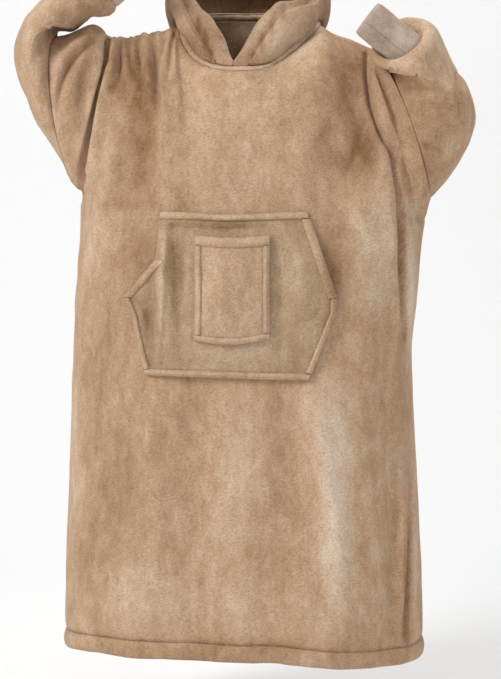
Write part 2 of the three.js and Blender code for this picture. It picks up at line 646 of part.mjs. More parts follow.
// Raised neck seam: a flat round welt all round the neck
function neckLip() {
  const spans = NECK_LAST_COLUMN - NECK_FIRST_COLUMN;
  const sides = 6;
  const front = range(spans).map((i) => mix(LEFT_NECK_ANGLE, RIGHT_NECK_ANGLE, i / spans));
  const back = range(spans).map((i) => mix(RIGHT_NECK_ANGLE, LEFT_NECK_ANGLE + 360, i / spans));
  const ring = [...front, ...back.map((angle) => (angle > 180 ? angle - 360 : angle))];
  const steps = ring.length;
  const outer = range(sides).map((k) => {
    const turn = (2 * Math.PI * k) / sides;
    const out = (NECK_LIP_WIDTH / 2) * Math.cos(turn);
    const up = (NECK_LIP_HEIGHT / 2) * Math.sin(turn);
    return ring.map((angle) => neckPoint(angle, out, up - 0.35 * out));
  });
  const positions = [];
  outer.forEach((row) => row.forEach((p) => positions.push(p.x, p.y, p.z)));
  const faces = [];
  const at = (k, i) => (k % sides) * steps + (i % steps);
  for (const k of range(sides)) {
    for (const i of range(steps)) {
      faces.push(at(k, i), at(k + 1, i), at(k + 1, i + 1), at(k, i), at(k + 1, i + 1), at(k, i + 1));
    }
  }
  addSolid('neck_seam', plush(), positions, faces);
}
neckLip();

// Hood section point: share 0 is the neck seam, 1 the groove beside the band
function polar(angle, radius, z) {
  const turn = radians(angle);
  return vec(NECK_CENTRE[0] + radius * Math.sin(turn), NECK_CENTRE[1] - radius * Math.cos(turn), z);
}

function inwardFrom(point) {
  return vec(NECK_CENTRE[0] - point.x, NECK_CENTRE[1] - point.y, 0);
}

function hoodCurve(sections, angle) {
  const read = (name) => column(sections, 'angle', angle, name);
  const start = neckPoint(angle, -1.5, NECK_LIP_HEIGHT / 2 + SEAM_GAP + 1.2);
  const knots = ['under', 'low', 'out', 'top', 'dip'];
  const points = knots.map((knot) => polar(angle, read(`${knot}R`), read(`${knot}Z`)));
  return new THREE.CatmullRomCurve3([start, ...points], false, 'centripetal');
}

function hoodPanel(side, sections) {
  const first = sections[0].angle;
  const last = sections[sections.length - 1].angle;
  const outer = range(HOOD_ROWS + 1).map((i) => {
    const curve = hoodCurve(sections, mix(first, last, i / HOOD_ROWS));
    return range(HOOD_COLUMNS + 1).map((j) => curve.getPointAt(j / HOOD_COLUMNS));
  });
  const shift = side === 'left' ? -HALF_GAP : HALF_GAP;
  outer[HOOD_ROWS].forEach((point) => { point.x += shift; });
  const direction = (i, j) => {
    if (j === 0) return inwardFrom(outer[i][0]);
    return j === HOOD_COLUMNS ? vec(0, 0, -1) : null;
  };
  const wall = (i) => Math.min(HOOD_PLUSH, mix(HOOD_TIP_WALL, HOOD_PLUSH, i / HOOD_TIP_ROWS));
  const inner = innerGrid(outer, wall, false, side === 'left' ? -1 : 1, direction);
  inner[HOOD_ROWS].forEach((point) => { point.x = NECK_CENTRE[0] + shift; });
  clothSolid(`hood_${side}`, hoodPlush(), outer, inner, false);
}
hoodPanel('left', hoodLeftSections);
hoodPanel('right', hoodRightSections);

// Face-edge band: from the V at the front to the centre back, crowned between groove and rim
function faceBand(side, sections) {
  const last = sections[sections.length - 1].angle;
  const lead = side === 'left' ? -0.4 : 0.4;
  const tip = { angle: V_ANGLE + lead, dipR: 85, dipZ: -50.5, bandR: 84, bandZ: -48, rimR: 81, rimZ: -46 };
  const table = [tip, ...sections];
  const outer = range(BAND_ROWS + 1).map((i) => {
    const angle = mix(tip.angle, last, i / BAND_ROWS);
    const read = (name) => column(table, 'angle', angle, name);
    const dip = polar(angle, read('dipR') - SEAM_GAP - 0.8, read('dipZ'));
    const crown = polar(angle, read('bandR'), read('bandZ'));
    const rim = polar(angle, read('rimR'), read('rimZ'));
    const curve = new THREE.CatmullRomCurve3([dip, crown, rim], false, 'centripetal');
    return range(BAND_COLUMNS + 1).map((j) => curve.getPointAt(j / BAND_COLUMNS));
  });
  const shift = side === 'left' ? -HALF_GAP : HALF_GAP;
  outer[BAND_ROWS].forEach((point) => { point.x += shift; });
  const direction = (i, j) => {
    if (i === 0) return inwardFrom(outer[0][j]);
    return j === 0 ? vec(0, 0, -1) : null;
  };
  const inner = innerGrid(outer, HOOD_PLUSH, false, side === 'left' ? -1 : 1, direction);
  inner[BAND_ROWS].forEach((point) => { point.x = NECK_CENTRE[0] + shift; });
  clothSolid(`hood_band_${side}`, hoodPlush(), outer, inner, false);
}
faceBand('left', hoodLeftSections);
faceBand('right', hoodRightSections);

// Depth of a front-facing grid at a place, read from its own triangles
function gridDepth(grid, x, z) {
  for (let i = 0; i < grid.length - 1; i += 1) {
    for (let j = 0; j < grid[0].length - 1; j += 1) {
      const a = grid[i][j];
      const b = grid[i][j + 1];
      const c = grid[i + 1][j + 1];
      const d = grid[i + 1][j];
      for (const [p, q, r] of [[a, b, c], [a, c, d]]) {
        const area = (q.x - p.x) * (r.z - p.z) - (r.x - p.x) * (q.z - p.z);
        const s = ((x - p.x) * (r.z - p.z) - (r.x - p.x) * (z - p.z)) / area;
        const t = ((q.x - p.x) * (z - p.z) - (x - p.x) * (q.z - p.z)) / area;
        if (s >= -1e-6 && t >= -1e-6 && s + t <= 1 + 1e-6) {
          return p.y + s * (q.y - p.y) + t * (r.y - p.y);
        }
      }
    }
  }
  return null;
}
const pocketZone = frontGrid.slice(0, LOWER_ROWS + 1).map((row) => row.slice(3, BODY_COLUMNS - 2));
const panelDepth = (x, z) => gridDepth(pocketZone, x, z);

// Kangaroo pocket surface: how far it stands off the panel, and its outer face
const POCKET_BOTTOM = pocketSides[0].z;
const POCKET_TOP = pocketSides[pocketSides.length - 1].z;
function pocketLift(u, z) {
  const v = (z - POCKET_BOTTOM) / (POCKET_TOP - POCKET_BOTTOM);
  const upright = Math.sin(Math.PI * Math.min(Math.max(v, 0), 1)) ** 0.6;
  const sewn = Math.sin(Math.PI * Math.min(Math.max(u, 0), 1)) ** 0.5;
  const above = (z - POCKET_CORNER_Z) / (POCKET_TOP - POCKET_CORNER_Z);
  const open = above > 0 ? Math.sin(Math.PI * above) : 0;
  const across = Math.max(sewn, 0.75 * Math.max(open, 0) ** 0.6);
  return POCKET_LIFT + POCKET_PUFF * upright * across;
}

function pocketPoint(u, z) {
  const left = corner(pocketSides, 'z', z, 'left');
  const right = corner(pocketSides, 'z', z, 'right');
  const x = mix(left, right, u);
  return vec(x, panelDepth(x, z) - pocketLift(u, z), z);
}

const pocketLevels = [-488, -478, -462, -440, -418, -400, -390, -380, -358, POCKET_TUCK_Z, -300, -276, -262];
function patch(name, material, grid, wall) {
  const outer = grid.map((row) => row.map((point) => point.clone().add(vec(0, -wall, 0))));
  clothSolid(name, material, outer, grid, false);
  return outer;
}
const pocketInside = pocketLevels.map((z) => range(POCKET_COLUMNS + 1)
  .map((j) => pocketPoint(j / POCKET_COLUMNS, z)));
const pocketOutside = patch('kangaroo_pocket', pocketPlush(), pocketInside, POCKET_WALL);

// Phone pocket on the kangaroo pocket: sewn at its sides and bottom, open along its top
const phoneLevels = range(PHONE_ROWS + 1)
  .map((i) => mix(phonePocket.bottom, phonePocket.top, i / PHONE_ROWS));
const phoneInside = phoneLevels.map((z) => range(PHONE_COLUMNS + 1).map((j) => {
  const u = j / PHONE_COLUMNS;
  const v = (z - phonePocket.bottom) / (phonePocket.top - phonePocket.bottom);
  const x = mix(phonePocket.left, phonePocket.right, u);
  const upright = Math.sin((Math.PI / 2) * Math.min(1, 1.6 * v)) ** 0.6;
  const puff = PHONE_PUFF * Math.sin(Math.PI * u) ** 0.6 * upright;
  return vec(x, gridDepth(pocketOutside, x, z) - PHONE_LIFT - puff, z);
}));
const phoneOutside = patch('phone_pocket', pocketPlush(), phoneInside, POCKET_WALL);

// Strip sewn along an edge: a crowned band on a surface, from a run of edge points and the
// direction across it
const STRIP_PROBES = [[0, 0], [0, 4], [0, -4], [4, 0], [-4, 0]];
function clearDepth(grid, x, z) {
  let depth = Infinity;
  for (const [dx, dz] of STRIP_PROBES) {
    const found = gridDepth(grid, x + dx, z + dz);
    if (found !== null) depth = Math.min(depth, found);
  }
  return depth;
}

function strip(name, material, edge, across, width, grid, gap = STRIP_GAP) {
  const profile = [
    [0, gap],
    [0, 0.75 * STRIP_HEIGHT],
    [0.28, STRIP_HEIGHT],
    [0.72, STRIP_HEIGHT],
    [1, 0.75 * STRIP_HEIGHT],
    [1, gap],
  ];
  const positions = [];
  edge.forEach((place, i) => {
    for (const [share, lift] of profile) {
      const x = place[0] + across[i][0] * width * share;
      const z = place[1] + across[i][1] * width * share;
      positions.push(x, clearDepth(grid, x, z) - lift, z);
    }
  });
  const sides = profile.length;
  const faces = [];
  const at = (i, k) => i * sides + (k % sides);
  for (let i = 0; i < edge.length - 1; i += 1) {
    for (const k of range(sides)) {
      faces.push(at(i, k), at(i, k + 1), at(i + 1, k + 1), at(i, k), at(i + 1, k + 1), at(i + 1, k));
    }
  }
  const end = edge.length - 1;
  for (let k = 1; k < sides - 1; k += 1) {
    faces.push(at(0, 0), at(0, k + 1), at(0, k));
    faces.push(at(end, 0), at(end, k), at(end, k + 1));
  }
  addSolid(name, material, positions, faces);
}

// Run of points between two places, and the direction across it
function straightRun(from, to, inward, count) {
  const places = range(count + 1)
    .map((i) => [mix(from[0], to[0], i / count), mix(from[1], to[1], i / count)]);
  return [places, places.map(() => inward)];
}

function sewStrip(name, from, to, inward, width, count, grid) {
  const length = Math.hypot(...inward);
  const [edge, across] = straightRun(from, to, inward.map((n) => n / length), count);
  strip(name, pocketPlush(), edge, across, width, grid);
}
const leftAt = (z) => corner(pocketSides, 'z', z, 'left');
const rightAt = (z) => corner(pocketSides, 'z', z, 'right');
const EDGE_IN = 0.6;
const topZ = POCKET_TOP - EDGE_IN;
const bottomZ = POCKET_BOTTOM + EDGE_IN;
sewStrip('pocket_top_binding', [leftAt(topZ) + 5, topZ], [rightAt(topZ) - 4, topZ], [0, -1],
  POCKET_BINDING, 12, pocketOutside);
const handTop = POCKET_TOP - POCKET_BINDING - 1.5;
const handBottom = POCKET_CORNER_Z + 2;
const weltTop = POCKET_CORNER_Z - 1;
const weltBottom = POCKET_BOTTOM + POCKET_WELT + 1.5;
function sideStrip(name, edgeAt, sense, fromZ, toZ, width, gap) {
  const count = 7;
  const edge = range(count + 1).map((i) => {
    const z = mix(fromZ, toZ, i / count);
    return [edgeAt(z) + sense, z];
  });
  strip(name, pocketPlush(), edge, edge.map(() => [sense, 0]), width, pocketOutside, gap);
}
sideStrip('hand_binding_left', leftAt, 1, POCKET_TUCK_Z - 2, handBottom, HAND_BINDING,
  LEFT_HAND_GAP);
sideStrip('hand_binding_right', rightAt, -1, handTop, handBottom, HAND_BINDING, HAND_STRIP_GAP);
sideStrip('pocket_welt_left', leftAt, 1, weltTop, weltBottom, POCKET_WELT, STRIP_GAP);
sideStrip('pocket_welt_right', rightAt, -1, weltTop, weltBottom, POCKET_WELT, STRIP_GAP);
sewStrip('pocket_welt_bottom', [leftAt(bottomZ) + 4, bottomZ], [rightAt(bottomZ) - 4, bottomZ], [0, 1],
  POCKET_WELT, 12, pocketOutside);
const phoneIn = { left: phonePocket.left + EDGE_IN, right: phonePocket.right - EDGE_IN };
const phoneTopZ = phonePocket.top - EDGE_IN;
const phoneLowZ = phonePocket.bottom + EDGE_IN;
sewStrip('phone_pocket_hem', [phoneIn.left, phoneTopZ], [phoneIn.right, phoneTopZ], [0, -1],
  PHONE_HEM, 8, phoneOutside);
const phoneWeltTop = phoneTopZ - PHONE_HEM - 0.6;
const phoneWeltLow = phoneLowZ + PHONE_WELT + 0.6;
sewStrip('phone_welt_left', [phoneIn.left, phoneWeltTop], [phoneIn.left, phoneWeltLow], [1, 0],
  PHONE_WELT, 8, phoneOutside);
sewStrip('phone_welt_right', [phoneIn.right, phoneWeltTop], [phoneIn.right, phoneWeltLow], [-1, 0],
  PHONE_WELT, 8, phoneOutside);
sewStrip('phone_welt_bottom', [phoneIn.left, phoneLowZ], [phoneIn.right, phoneLowZ], [0, 1],
  PHONE_WELT, 8, phoneOutside);

export default garment;
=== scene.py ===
import math

import bpy
import numpy as np
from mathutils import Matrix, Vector


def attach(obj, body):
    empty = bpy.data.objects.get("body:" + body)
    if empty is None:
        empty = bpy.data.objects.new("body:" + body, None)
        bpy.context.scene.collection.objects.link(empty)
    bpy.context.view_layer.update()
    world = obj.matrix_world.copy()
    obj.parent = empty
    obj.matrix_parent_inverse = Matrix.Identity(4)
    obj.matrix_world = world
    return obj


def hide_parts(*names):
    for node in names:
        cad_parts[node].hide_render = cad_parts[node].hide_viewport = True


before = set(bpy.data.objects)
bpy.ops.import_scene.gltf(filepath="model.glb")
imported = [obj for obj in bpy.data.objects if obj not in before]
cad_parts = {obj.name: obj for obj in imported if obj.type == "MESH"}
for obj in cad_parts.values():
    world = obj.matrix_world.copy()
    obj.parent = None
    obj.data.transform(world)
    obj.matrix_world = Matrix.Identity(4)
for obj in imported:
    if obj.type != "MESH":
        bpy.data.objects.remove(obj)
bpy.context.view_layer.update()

MM = 0.001

# Camera of the photograph, whose frame is 501 by 679 pixels; EYE_ROW is the row at the eye's height
PHOTO_WIDTH = 501
PHOTO_HEIGHT = 679
PIXEL = 1.474
DISTANCE = 3000.0
EYE = (11.06, -DISTANCE, -243.2)
AIM = (11.06, 0.0, -448.8)
EYE_ROW = 200.0
SENSOR = 36.0


def add_camera():
    data = bpy.data.cameras.new("camera")
    camera = bpy.data.objects.new("camera", data)
    bpy.context.scene.collection.objects.link(camera)
    camera.location = [value * MM for value in EYE]
    look = Vector(AIM) - Vector(EYE)
    camera.rotation_euler = look.to_track_quat("-Z", "Y").to_euler()
    data.sensor_width = SENSOR
    data.lens = SENSOR * look.length / (PHOTO_HEIGHT * PIXEL)
    bpy.context.scene.camera = camera


add_camera()

CURVE_STEPS = 12
TOUCHING = 1e-4
LATTICE = 32
LATTICE_SHIFT = 1000.0
CREASE_END = 0.35


# Helpers for tables, curves and grids of points
def table(names, rows):
    """Short table with named columns."""
    return dict(zip(names.split(), np.array(rows, dtype=float).T))


def column(tbl, key, at, name):
    """Smooth value of one named column at places along its key column."""
    keys, values = tbl[key], tbl[name]
    at = np.asarray(at, dtype=float)
    sense = 1.0 if keys[-1] > keys[0] else -1.0
    last = len(keys) - 1
    i = np.clip(np.searchsorted(keys * sense, at * sense, side="left") - 1, 0, last - 1)
    before, after = np.maximum(i - 1, 0), np.minimum(i + 2, last)
    step = keys[i + 1] - keys[i]
    t = np.clip((at - keys[i]) / step, 0, 1)
    here, following = values[i], values[i + 1]
    slope_here = (following - values[before]) / (keys[i + 1] - keys[before]) * step
    slope_next = (values[after] - here) / (keys[after] - keys[i]) * step
    t2, t3 = t * t, t * t * t
    return ((2 * t3 - 3 * t2 + 1) * here + (t3 - 2 * t2 + t) * slope_here
            + (3 * t2 - 2 * t3) * following + (t3 - t2) * slope_next)


def mix(a, b, t):
    return a + (b - a) * t


def unit(v):
    return v / np.maximum(np.linalg.norm(v, axis=-1, keepdims=True), 1e-9)


def smooth(t):
    t = np.clip(t, 0, 1)
    return t * t * (3 - 2 * t)


def curve(knots, count, even=False):
    """Centripetal curve through knots (K, ..., 3) in count points, which an even one spaces evenly."""
    p = np.asarray(knots, dtype=float)
    last = len(p) - 1
    q = np.concatenate([[2 * p[0] - p[1]], p, [2 * p[-1] - p[-2]]])
    out = []
    for place in np.linspace(0, last, CURVE_STEPS * last + 1 if even else count):
        i = min(int(place), last - 1)
        w = place - i
        a, b, c, d = q[i:i + 4]
        d0, d1, d2 = [np.sum((m - n) ** 2, axis=-1, keepdims=True) ** 0.25
                      for m, n in ((b, a), (c, b), (d, c))]
        d1 = np.where(d1 < TOUCHING, 1.0, d1)
        d0 = np.where(d0 < TOUCHING, d1, d0)
        d2 = np.where(d2 < TOUCHING, d1, d2)
        t1 = ((b - a) / d0 - (c - a) / (d0 + d1) + (c - b) / d1) * d1
        t2 = ((c - b) / d1 - (d - b) / (d1 + d2) + (d - c) / d2) * d1
        out.append(b + t1 * w + (-3 * b + 3 * c - 2 * t1 - t2) * w ** 2
                   + (2 * b - 2 * c + t1 + t2) * w ** 3)
    out = np.array(out)
    if even:
        shares = np.linspace(0, 1, count)
        out = np.stack([along_line(out[:, n], shares) for n in range(out.shape[1])], axis=1)
    return out


def along_line(line, share):
    """Points at shares of the length of a line (K, 3)."""
    steps = np.linalg.norm(np.diff(line, axis=0), axis=-1)
    lengths = np.concatenate([[0], np.cumsum(steps)]) / steps.sum()
    return np.stack([np.interp(share, lengths, line[:, a]) for a in range(3)], axis=-1)


def normals(grid, closed):
    """Unit normals of a grid of points (rows, columns, 3)."""
    if closed:
        across = np.roll(grid, -1, axis=1) - np.roll(grid, 1, axis=1)
    else:
        across = np.gradient(grid, axis=1)
    return unit(np.cross(across, np.gradient(grid, axis=0)))


def lattice_noise(points, size, seed):
    """Smooth noise from -1 to 1 at points (..., 3), with cells of the given size (x, y, z)."""
    lattice = np.random.RandomState(seed).uniform(-1, 1, (LATTICE,) * 3)
    p = np.asarray(points) / np.asarray(size, dtype=float) + LATTICE_SHIFT
    cell = np.floor(p).astype(int)
    f = smooth(p - cell)
    total = 0.0
    for step in np.ndindex(2, 2, 2):
        x, y, z = np.moveaxis((cell + step) % LATTICE, -1, 0)
        total = total + np.where(step, f, 1 - f).prod(axis=-1) * lattice[x, y, z]
    return total


def seen(points):
    """Where points fall in the photograph, in its pixels."""
    scale = PIXEL * (DISTANCE + points[..., 1]) / DISTANCE
    return (PHOTO_WIDTH / 2 + (points[..., 0] - EYE[0]) / scale,
            EYE_ROW - (points[..., 2] - EYE[2]) / scale)


def crease_depth(px, py, creases):
    """Sum of soft troughs (positive) and ridges (negative), each along a line of places."""
    depth = np.zeros(np.shape(px))
    for line, width, deep in creases:
        best = np.full(depth.shape, np.inf)
        share = np.zeros(depth.shape)
        total = sum(math.dist(a, b) for a, b in zip(line, line[1:]))
        done = 0.0
        for a, b in zip(line, line[1:]):
            length = math.dist(a, b)
            dx, dy = (b[0] - a[0]) / length, (b[1] - a[1]) / length
            t = np.clip((px - a[0]) * dx + (py - a[1]) * dy, 0, length)
            far = np.hypot(px - a[0] - t * dx, py - a[1] - t * dy)
            closer = far < best
            best = np.where(closer, far, best)
            share = np.where(closer, (done + t) / total, share)
            done += length
        fade = CREASE_END + (1 - CREASE_END) * np.sin(np.pi * np.clip(share, 0.04, 0.96)) ** 0.7
        depth += deep * fade * np.exp(-(best / width) ** 2)
    return depth


# Cloth thicknesses and gaps
PLUSH = 4.0
HOOD_PLUSH = 3.6
KNIT = 2.6
SEAM_GAP = 0.3
HALF_GAP = 0.05
ARMHOLE_GAP = 0.5
HEM_BAND_HEIGHT = 23.0
ROUNDNESS = 0.8

# Body sections, hem, armholes, shoulders and neck
body = table("z left right front back", [
    (-905, -264, 266, 186, 150), (-838, -262, 266, 181, 148), (-688, -258, 259, 172, 142),
    (-539, -252, 251, 165, 135), (-464, -248, 248, 162, 131), (-390, -245, 255, 158, 127),
    (-300, -238, 262, 151, 122), (-238, -236.5, 273, 146, 118)])
hem = table("turn z", [(0, -898), (45, -886), (90, -890), (130, -905), (180, -909), (225, -906),
                       (270, -902), (315, -899), (360, -898)])
armholes = {
    "left": dict(under=(-236.5, 0, -232), top=(-269, -20, -4), front=84, back=74, bow=-18),
    "right": dict(under=(273, 0, -245), top=(207, -28, -54), front=90, back=70, bow=4)}
shoulder_left = [(-269, -20, -4), (-258, -26, -5), (-238, -32, 3), (-217, -32, 11), (-205, -24, 5),
                 (-196, -12, -11), (-186, -4, -5), (-175, 0, -9.5), (-166, 2, -4), (-156, 3, -5.5),
                 (-146, 4, 0.5), (-134, 5, 0), (-124, 5, 6.5), (-115, 6, 4), (-102, 6, 11),
                 (-95, 6, 12)]
shoulder_right = [(115, 6, 15), (136, -2, -4), (159, -8, -11), (176, -14, -19), (190, -20, -27),
                  (207, -28, -54)]
NECK = (8.0, -5.0)
neck = table("angle radius z", [
    (-180, 77, 28), (-152, 82, 28), (-125, 95, 24), (-96, 97, 9), (-77, 91, -22), (-53, 84, -44),
    (-33, 84, -54), (-15, 83, -58), (16, 79, -54), (45, 78, -33), (67, 84, -12), (86, 97, 9),
    (98, 101, 15), (125, 97, 24), (152, 82, 28), (180, 77, 28)])
NECK_LIP_WIDTH = 8.0
NECK_LIP_HEIGHT = 5.0
WELT_CLEAR = 0.5
V_ANGLE = -15.0
LEFT_NECK_ANGLE = -99.0
RIGHT_NECK_ANGLE = 98.0
NECK_FIRST = 10 / 32
NECK_LAST = 22 / 32

front_folds = [
    (-194, -10, -236, -240, 17, 24), (186, -40, 240, -215, 15, 16), (165, -80, 128, -215, 30, 10),
    (-60, -560, -64, -890, 34, 9), (60, -600, 40, -890, 28, 7), (118, -540, 122, -900, 34, -9),
    (-150, -620, -160, -890, 30, -6), (205, -420, 210, -890, 20, 8)]
back_folds = [
    (-194, -10, -232, -240, 18, 20), (188, -40, 240, -220, 18, 18), (-90, -420, -110, -890, 36, 10),
    (20, -500, 10, -890, 34, -9), (120, -400, 130, -890, 36, 10)]
FOLD_END = 55.0
ARMHOLE_BLEND = 0.3


def neck_point(angle, out=0.0, up=0.0):
    angle = np.asarray(angle, dtype=float)
    radius = column(neck, "angle", angle, "radius") + out
    turn = np.radians(angle)
    z = column(neck, "angle", angle, "z") + up
    return np.stack([NECK[0] + radius * np.sin(turn), NECK[1] - radius * np.cos(turn), z], axis=-1)


def armhole_frame(side):
    """Armhole's own values, its middle, its half from there to the top, and the way to the body."""
    hole = armholes[side]
    under, top = np.array(hole["under"], float), np.array(hole["top"], float)
    centre, half = (under + top) / 2, (under - top) / 2
    to_body = unit(np.array([-half[2], 0, half[0]]))
    if to_body[0] * centre[0] > 0:
        to_body = -to_body
    return hole, centre, half, to_body


def armhole_spoke(side, turn):
    hole, _, half, _ = armhole_frame(side)
    sine = np.sin(turn)
    spoke = half * np.cos(turn)[..., None]
    spoke[..., 1] += np.where(sine > 0, -hole["front"], hole["back"]) * np.abs(sine)
    return spoke


def armhole_point(side, turn):
    hole, centre, _, to_body = armhole_frame(side)
    bow = (1 if side == "left" else -1) * hole["bow"] * np.abs(np.sin(turn))
    return centre + armhole_spoke(side, turn) + to_body * bow[..., None]


def armhole_inward(side, turn):
    return -unit(armhole_spoke(side, turn))


def fold_depth(folds, x, z):
    """Depth of the large folds, each from one place to another: x, z, x, z, width, depth."""
    depth = 0.0
    for x0, z0, x1, z1, width, deep in folds:
        t = (z - z0) / (z1 - z0)
        along = np.clip(t, 0, 1)
        past = np.abs(t - along) * abs(z1 - z0)
        across = (x - mix(x0, x1, along)) / width
        depth = depth + deep * np.exp(-across ** 2 - (past / FOLD_END) ** 2)
    return depth


def across_share(u):
    """Share of the width at share u of a half-round section, a superellipse."""
    cosine = np.cos(np.pi * u)
    return (1 - np.sign(cosine) * np.abs(cosine) ** ROUNDNESS) / 2


def swell_of(u):
    return np.abs(np.sin(np.pi * u)) ** ROUNDNESS


def lower_point(is_front, u, z):
    """Point of a body panel below the armholes."""
    left, right = column(body, "z", z, "left"), column(body, "z", z, "right")
    reach = -column(body, "z", z, "front") if is_front else column(body, "z", z, "back")
    x = mix(left, right, across_share(u))
    swell = swell_of(u)
    folds = fold_depth(front_folds if is_front else back_folds, x, z) * np.minimum(1, 1.6 * swell)
    return np.stack([x, reach * swell + (folds if is_front else -folds), z + 0 * x], axis=-1)


def panel_neck(is_front, share):
    away = NECK_LIP_WIDTH / 2 + WELT_CLEAR
    angle = mix(LEFT_NECK_ANGLE + (0 if is_front else 360), RIGHT_NECK_ANGLE, share)
    angle = np.where(angle > 180, angle - 360, angle)
    return neck_point(angle, away, -1.5)


left_line = curve(np.array(shoulder_left, float), 200)
right_line = curve(np.array(shoulder_right, float), 200)


def top_edge(is_front, u):
    """A body panel's top edge: shoulder, neckline, shoulder."""
    result = panel_neck(is_front, np.clip((u - NECK_FIRST) / (NECK_LAST - NECK_FIRST), 0, 1))
    left_share = np.clip(u / NECK_FIRST, 0, 1)
    left = along_line(left_line, left_share)
    left = mix(left, panel_neck(is_front, np.array(0.0)), left_share[:, None] ** 4)
    right_share = np.clip((u - NECK_LAST) / (1 - NECK_LAST), 0, 1)
    right = along_line(right_line, right_share)
    right = mix(right, panel_neck(is_front, np.array(1.0)), (1 - right_share)[:, None] ** 4)
    result = np.where((u <= NECK_FIRST)[:, None], left, result)
    return np.where((u >= NECK_LAST)[:, None], right, result)


LEAN_FROM = 0.28
LEAN_SPAN = 0.38
FRONT_LEAN = 38
BACK_LEAN = 12


def under_level(u):
    return mix(armholes["left"]["under"][2], armholes["right"]["under"][2], across_share(u))


def upper_grid(is_front, u, v):
    """Upper body points for all rows v and columns u."""
    top = top_edge(is_front, u)[None]
    base = lower_point(is_front, u, under_level(u))[None]
    v = v[:, None]
    neckness = np.sin(np.pi * np.clip((u - LEAN_FROM) / LEAN_SPAN, 0, 1)) ** 2
    last_turn = np.radians(90 - (FRONT_LEAN if is_front else BACK_LEAN) * neckness)[None]
    turn = last_turn * v
    rise = np.sin(turn) / np.sin(last_turn)
    run = (np.cos(turn) - np.cos(last_turn)) / (1 - np.cos(last_turn))
    z = mix(base[..., 2], top[..., 2], rise)
    x = mix(base[..., 0], top[..., 0], rise)
    swell = swell_of(u)[None]
    reach = -column(body, "z", z, "front") if is_front else column(body, "z", z, "back")
    folds = fold_depth(front_folds if is_front else back_folds, x, z)
    folds = folds * np.minimum(1, 1.6 * swell) * np.maximum(run, 0) ** 0.5
    y = mix(top[..., 1], reach * swell, run) + (folds if is_front else -folds)
    return np.stack([x, y, z], axis=-1)


def armhole_turn(is_front, v):
    """Turn round the armhole at share v of the panel's edge beside it."""
    turn = np.arccos(np.clip(1 - 2 * np.sin(np.pi / 2 * v), -1, 1))
    return turn if is_front else -turn


# Nap and painted shade: broad darker (negative) and lighter patches of the pile, placed in the
# photograph's
# pixels: centre, reach across and along, tone. Some are the pile's own mottling; others are painted
# shade and light: painted shadow lines along the neck's valleys, painted shade in the chest, pocket and
# side folds, and painted highlights along the armhole seam and on fold ridges.
front_nap_and_shade = [
    # Painted shade over the folded left shoulder and right chest, and a painted highlight on a fold ridge
    # at (163, 160).
    (130, 72, 34, 36, -0.55), (138, 150, 22, 60, -0.55), (163, 160, 7, 60, 0.30),
    (345, 76, 34, 34, -0.55), (366, 140, 14, 34, -0.60), (352, 162, 26, 26, -0.60),
    (330, 130, 14, 30, -0.35), (352, 122, 10, 20, -0.35), (392, 120, 14, 50, -0.25),
    (78, 90, 16, 46, -0.20), (34, 60, 14, 40, 0.10), (448, 105, 24, 30, -0.35),
    (425, 160, 16, 30, -0.20), (428, 38, 20, 16, 0.45), (446, 62, 10, 24, 0.35),
    (402, 66, 20, 8, 0.30), (240, 130, 46, 60, 0.10), (338, 500, 16, 110, 0.80),
    (322, 430, 14, 60, 0.30), (396, 530, 9, 110, -0.08), (104, 490, 30, 80, -0.20),
    (411, 290, 6, 70, 0.85), (240, 480, 12, 90, 0.28), (190, 600, 90, 30, 0.12),
    (374, 470, 12, 120, 0.10), (228, 655, 160, 14, -0.30), (76, 420, 8, 160, 0.25),
    (378, 250, 20, 60, 0.42), (235, 90, 20, 22, 0.05), (96, 255, 14, 40, 0.20),
    (205, 40, 22, 22, -0.50), (296, 42, 24, 26, 0.75), (112, 310, 30, 60, -0.38),
    # Painted shade in the pocket's fold trough at (176, 262) and a painted highlight on its ridge at (162,
    # 300).
    (150, 318, 7, 22, -0.35), (176, 262, 7, 26, -0.40), (162, 300, 5, 40, 0.45),
    (220, 224, 50, 5, -0.55), (294, 262, 12, 26, 0.45), (250, 352, 50, 10, 0.30),
    (312, 330, 8, 20, 0.35), (334, 270, 14, 40, -0.65), (139, 250, 14, 22, -0.45),
    (204, 292, 8, 26, 0.30), (214, 310, 6, 22, -0.25), (292, 350, 10, 10, -0.20),
    # Painted shadow: thin dark lines along the neck's valleys, from (199, 26) to (252, 57).
    (150, 205, 60, 6, -0.20), (200, 318, 14, 12, 0.10), (199, 26, 3, 9, -0.9), (206, 44, 3, 11, -1.1),
    (211, 57, 3, 7, -0.9), (283, 18, 3, 8, -0.7), (272, 30, 3, 9, -0.8), (262, 44, 3, 9, -0.8),
    (252, 57, 4, 6, -0.6), (163, 300, 4, 46, 0.45), (150, 326, 4, 22, -0.20),
    # Painted highlights along the left armhole seam against its shade, (106, 45) to (89, 145); then thin
    # painted shade lines along the right side's creases.
    (179, 270, 5, 26, -0.25), (106, 45, 6, 16, 0.50), (100, 75, 6, 18, 0.55), (94, 110, 6, 20, 0.55),
    (89, 145, 6, 20, 0.50), (402, 240, 3, 60, -0.5), (405, 320, 3, 30, -0.4), (408, 590, 3, 60, -0.6),
    (416, 560, 4, 70, 0.4)]
back_nap = [
    (130, 110, 40, 60, -0.35), (350, 120, 40, 60, -0.35), (240, 300, 40, 120, 0.25),
    (330, 480, 16, 120, 0.40), (160, 480, 18, 120, -0.30), (240, 640, 160, 16, -0.25)]
FRONT_FADE = 60


def nap_and_shade_tone(points):
    """Tone at points: the pile's own mottling together with painted shade and light; the front's patches
    fade into the back's at the side seams.
    """
    px, py = seen(points)
    front = smooth((FRONT_FADE / 2 - points[..., 1]) / FRONT_FADE)
    total = 0.0
    for share, patches in ((front, front_nap_and_shade), (1 - front, back_nap)):
        for x, y, across, along, tone in patches:
            total = total + share * tone * np.exp(-((px - x) / across) ** 2 - ((py - y) / along) ** 2)
    return total


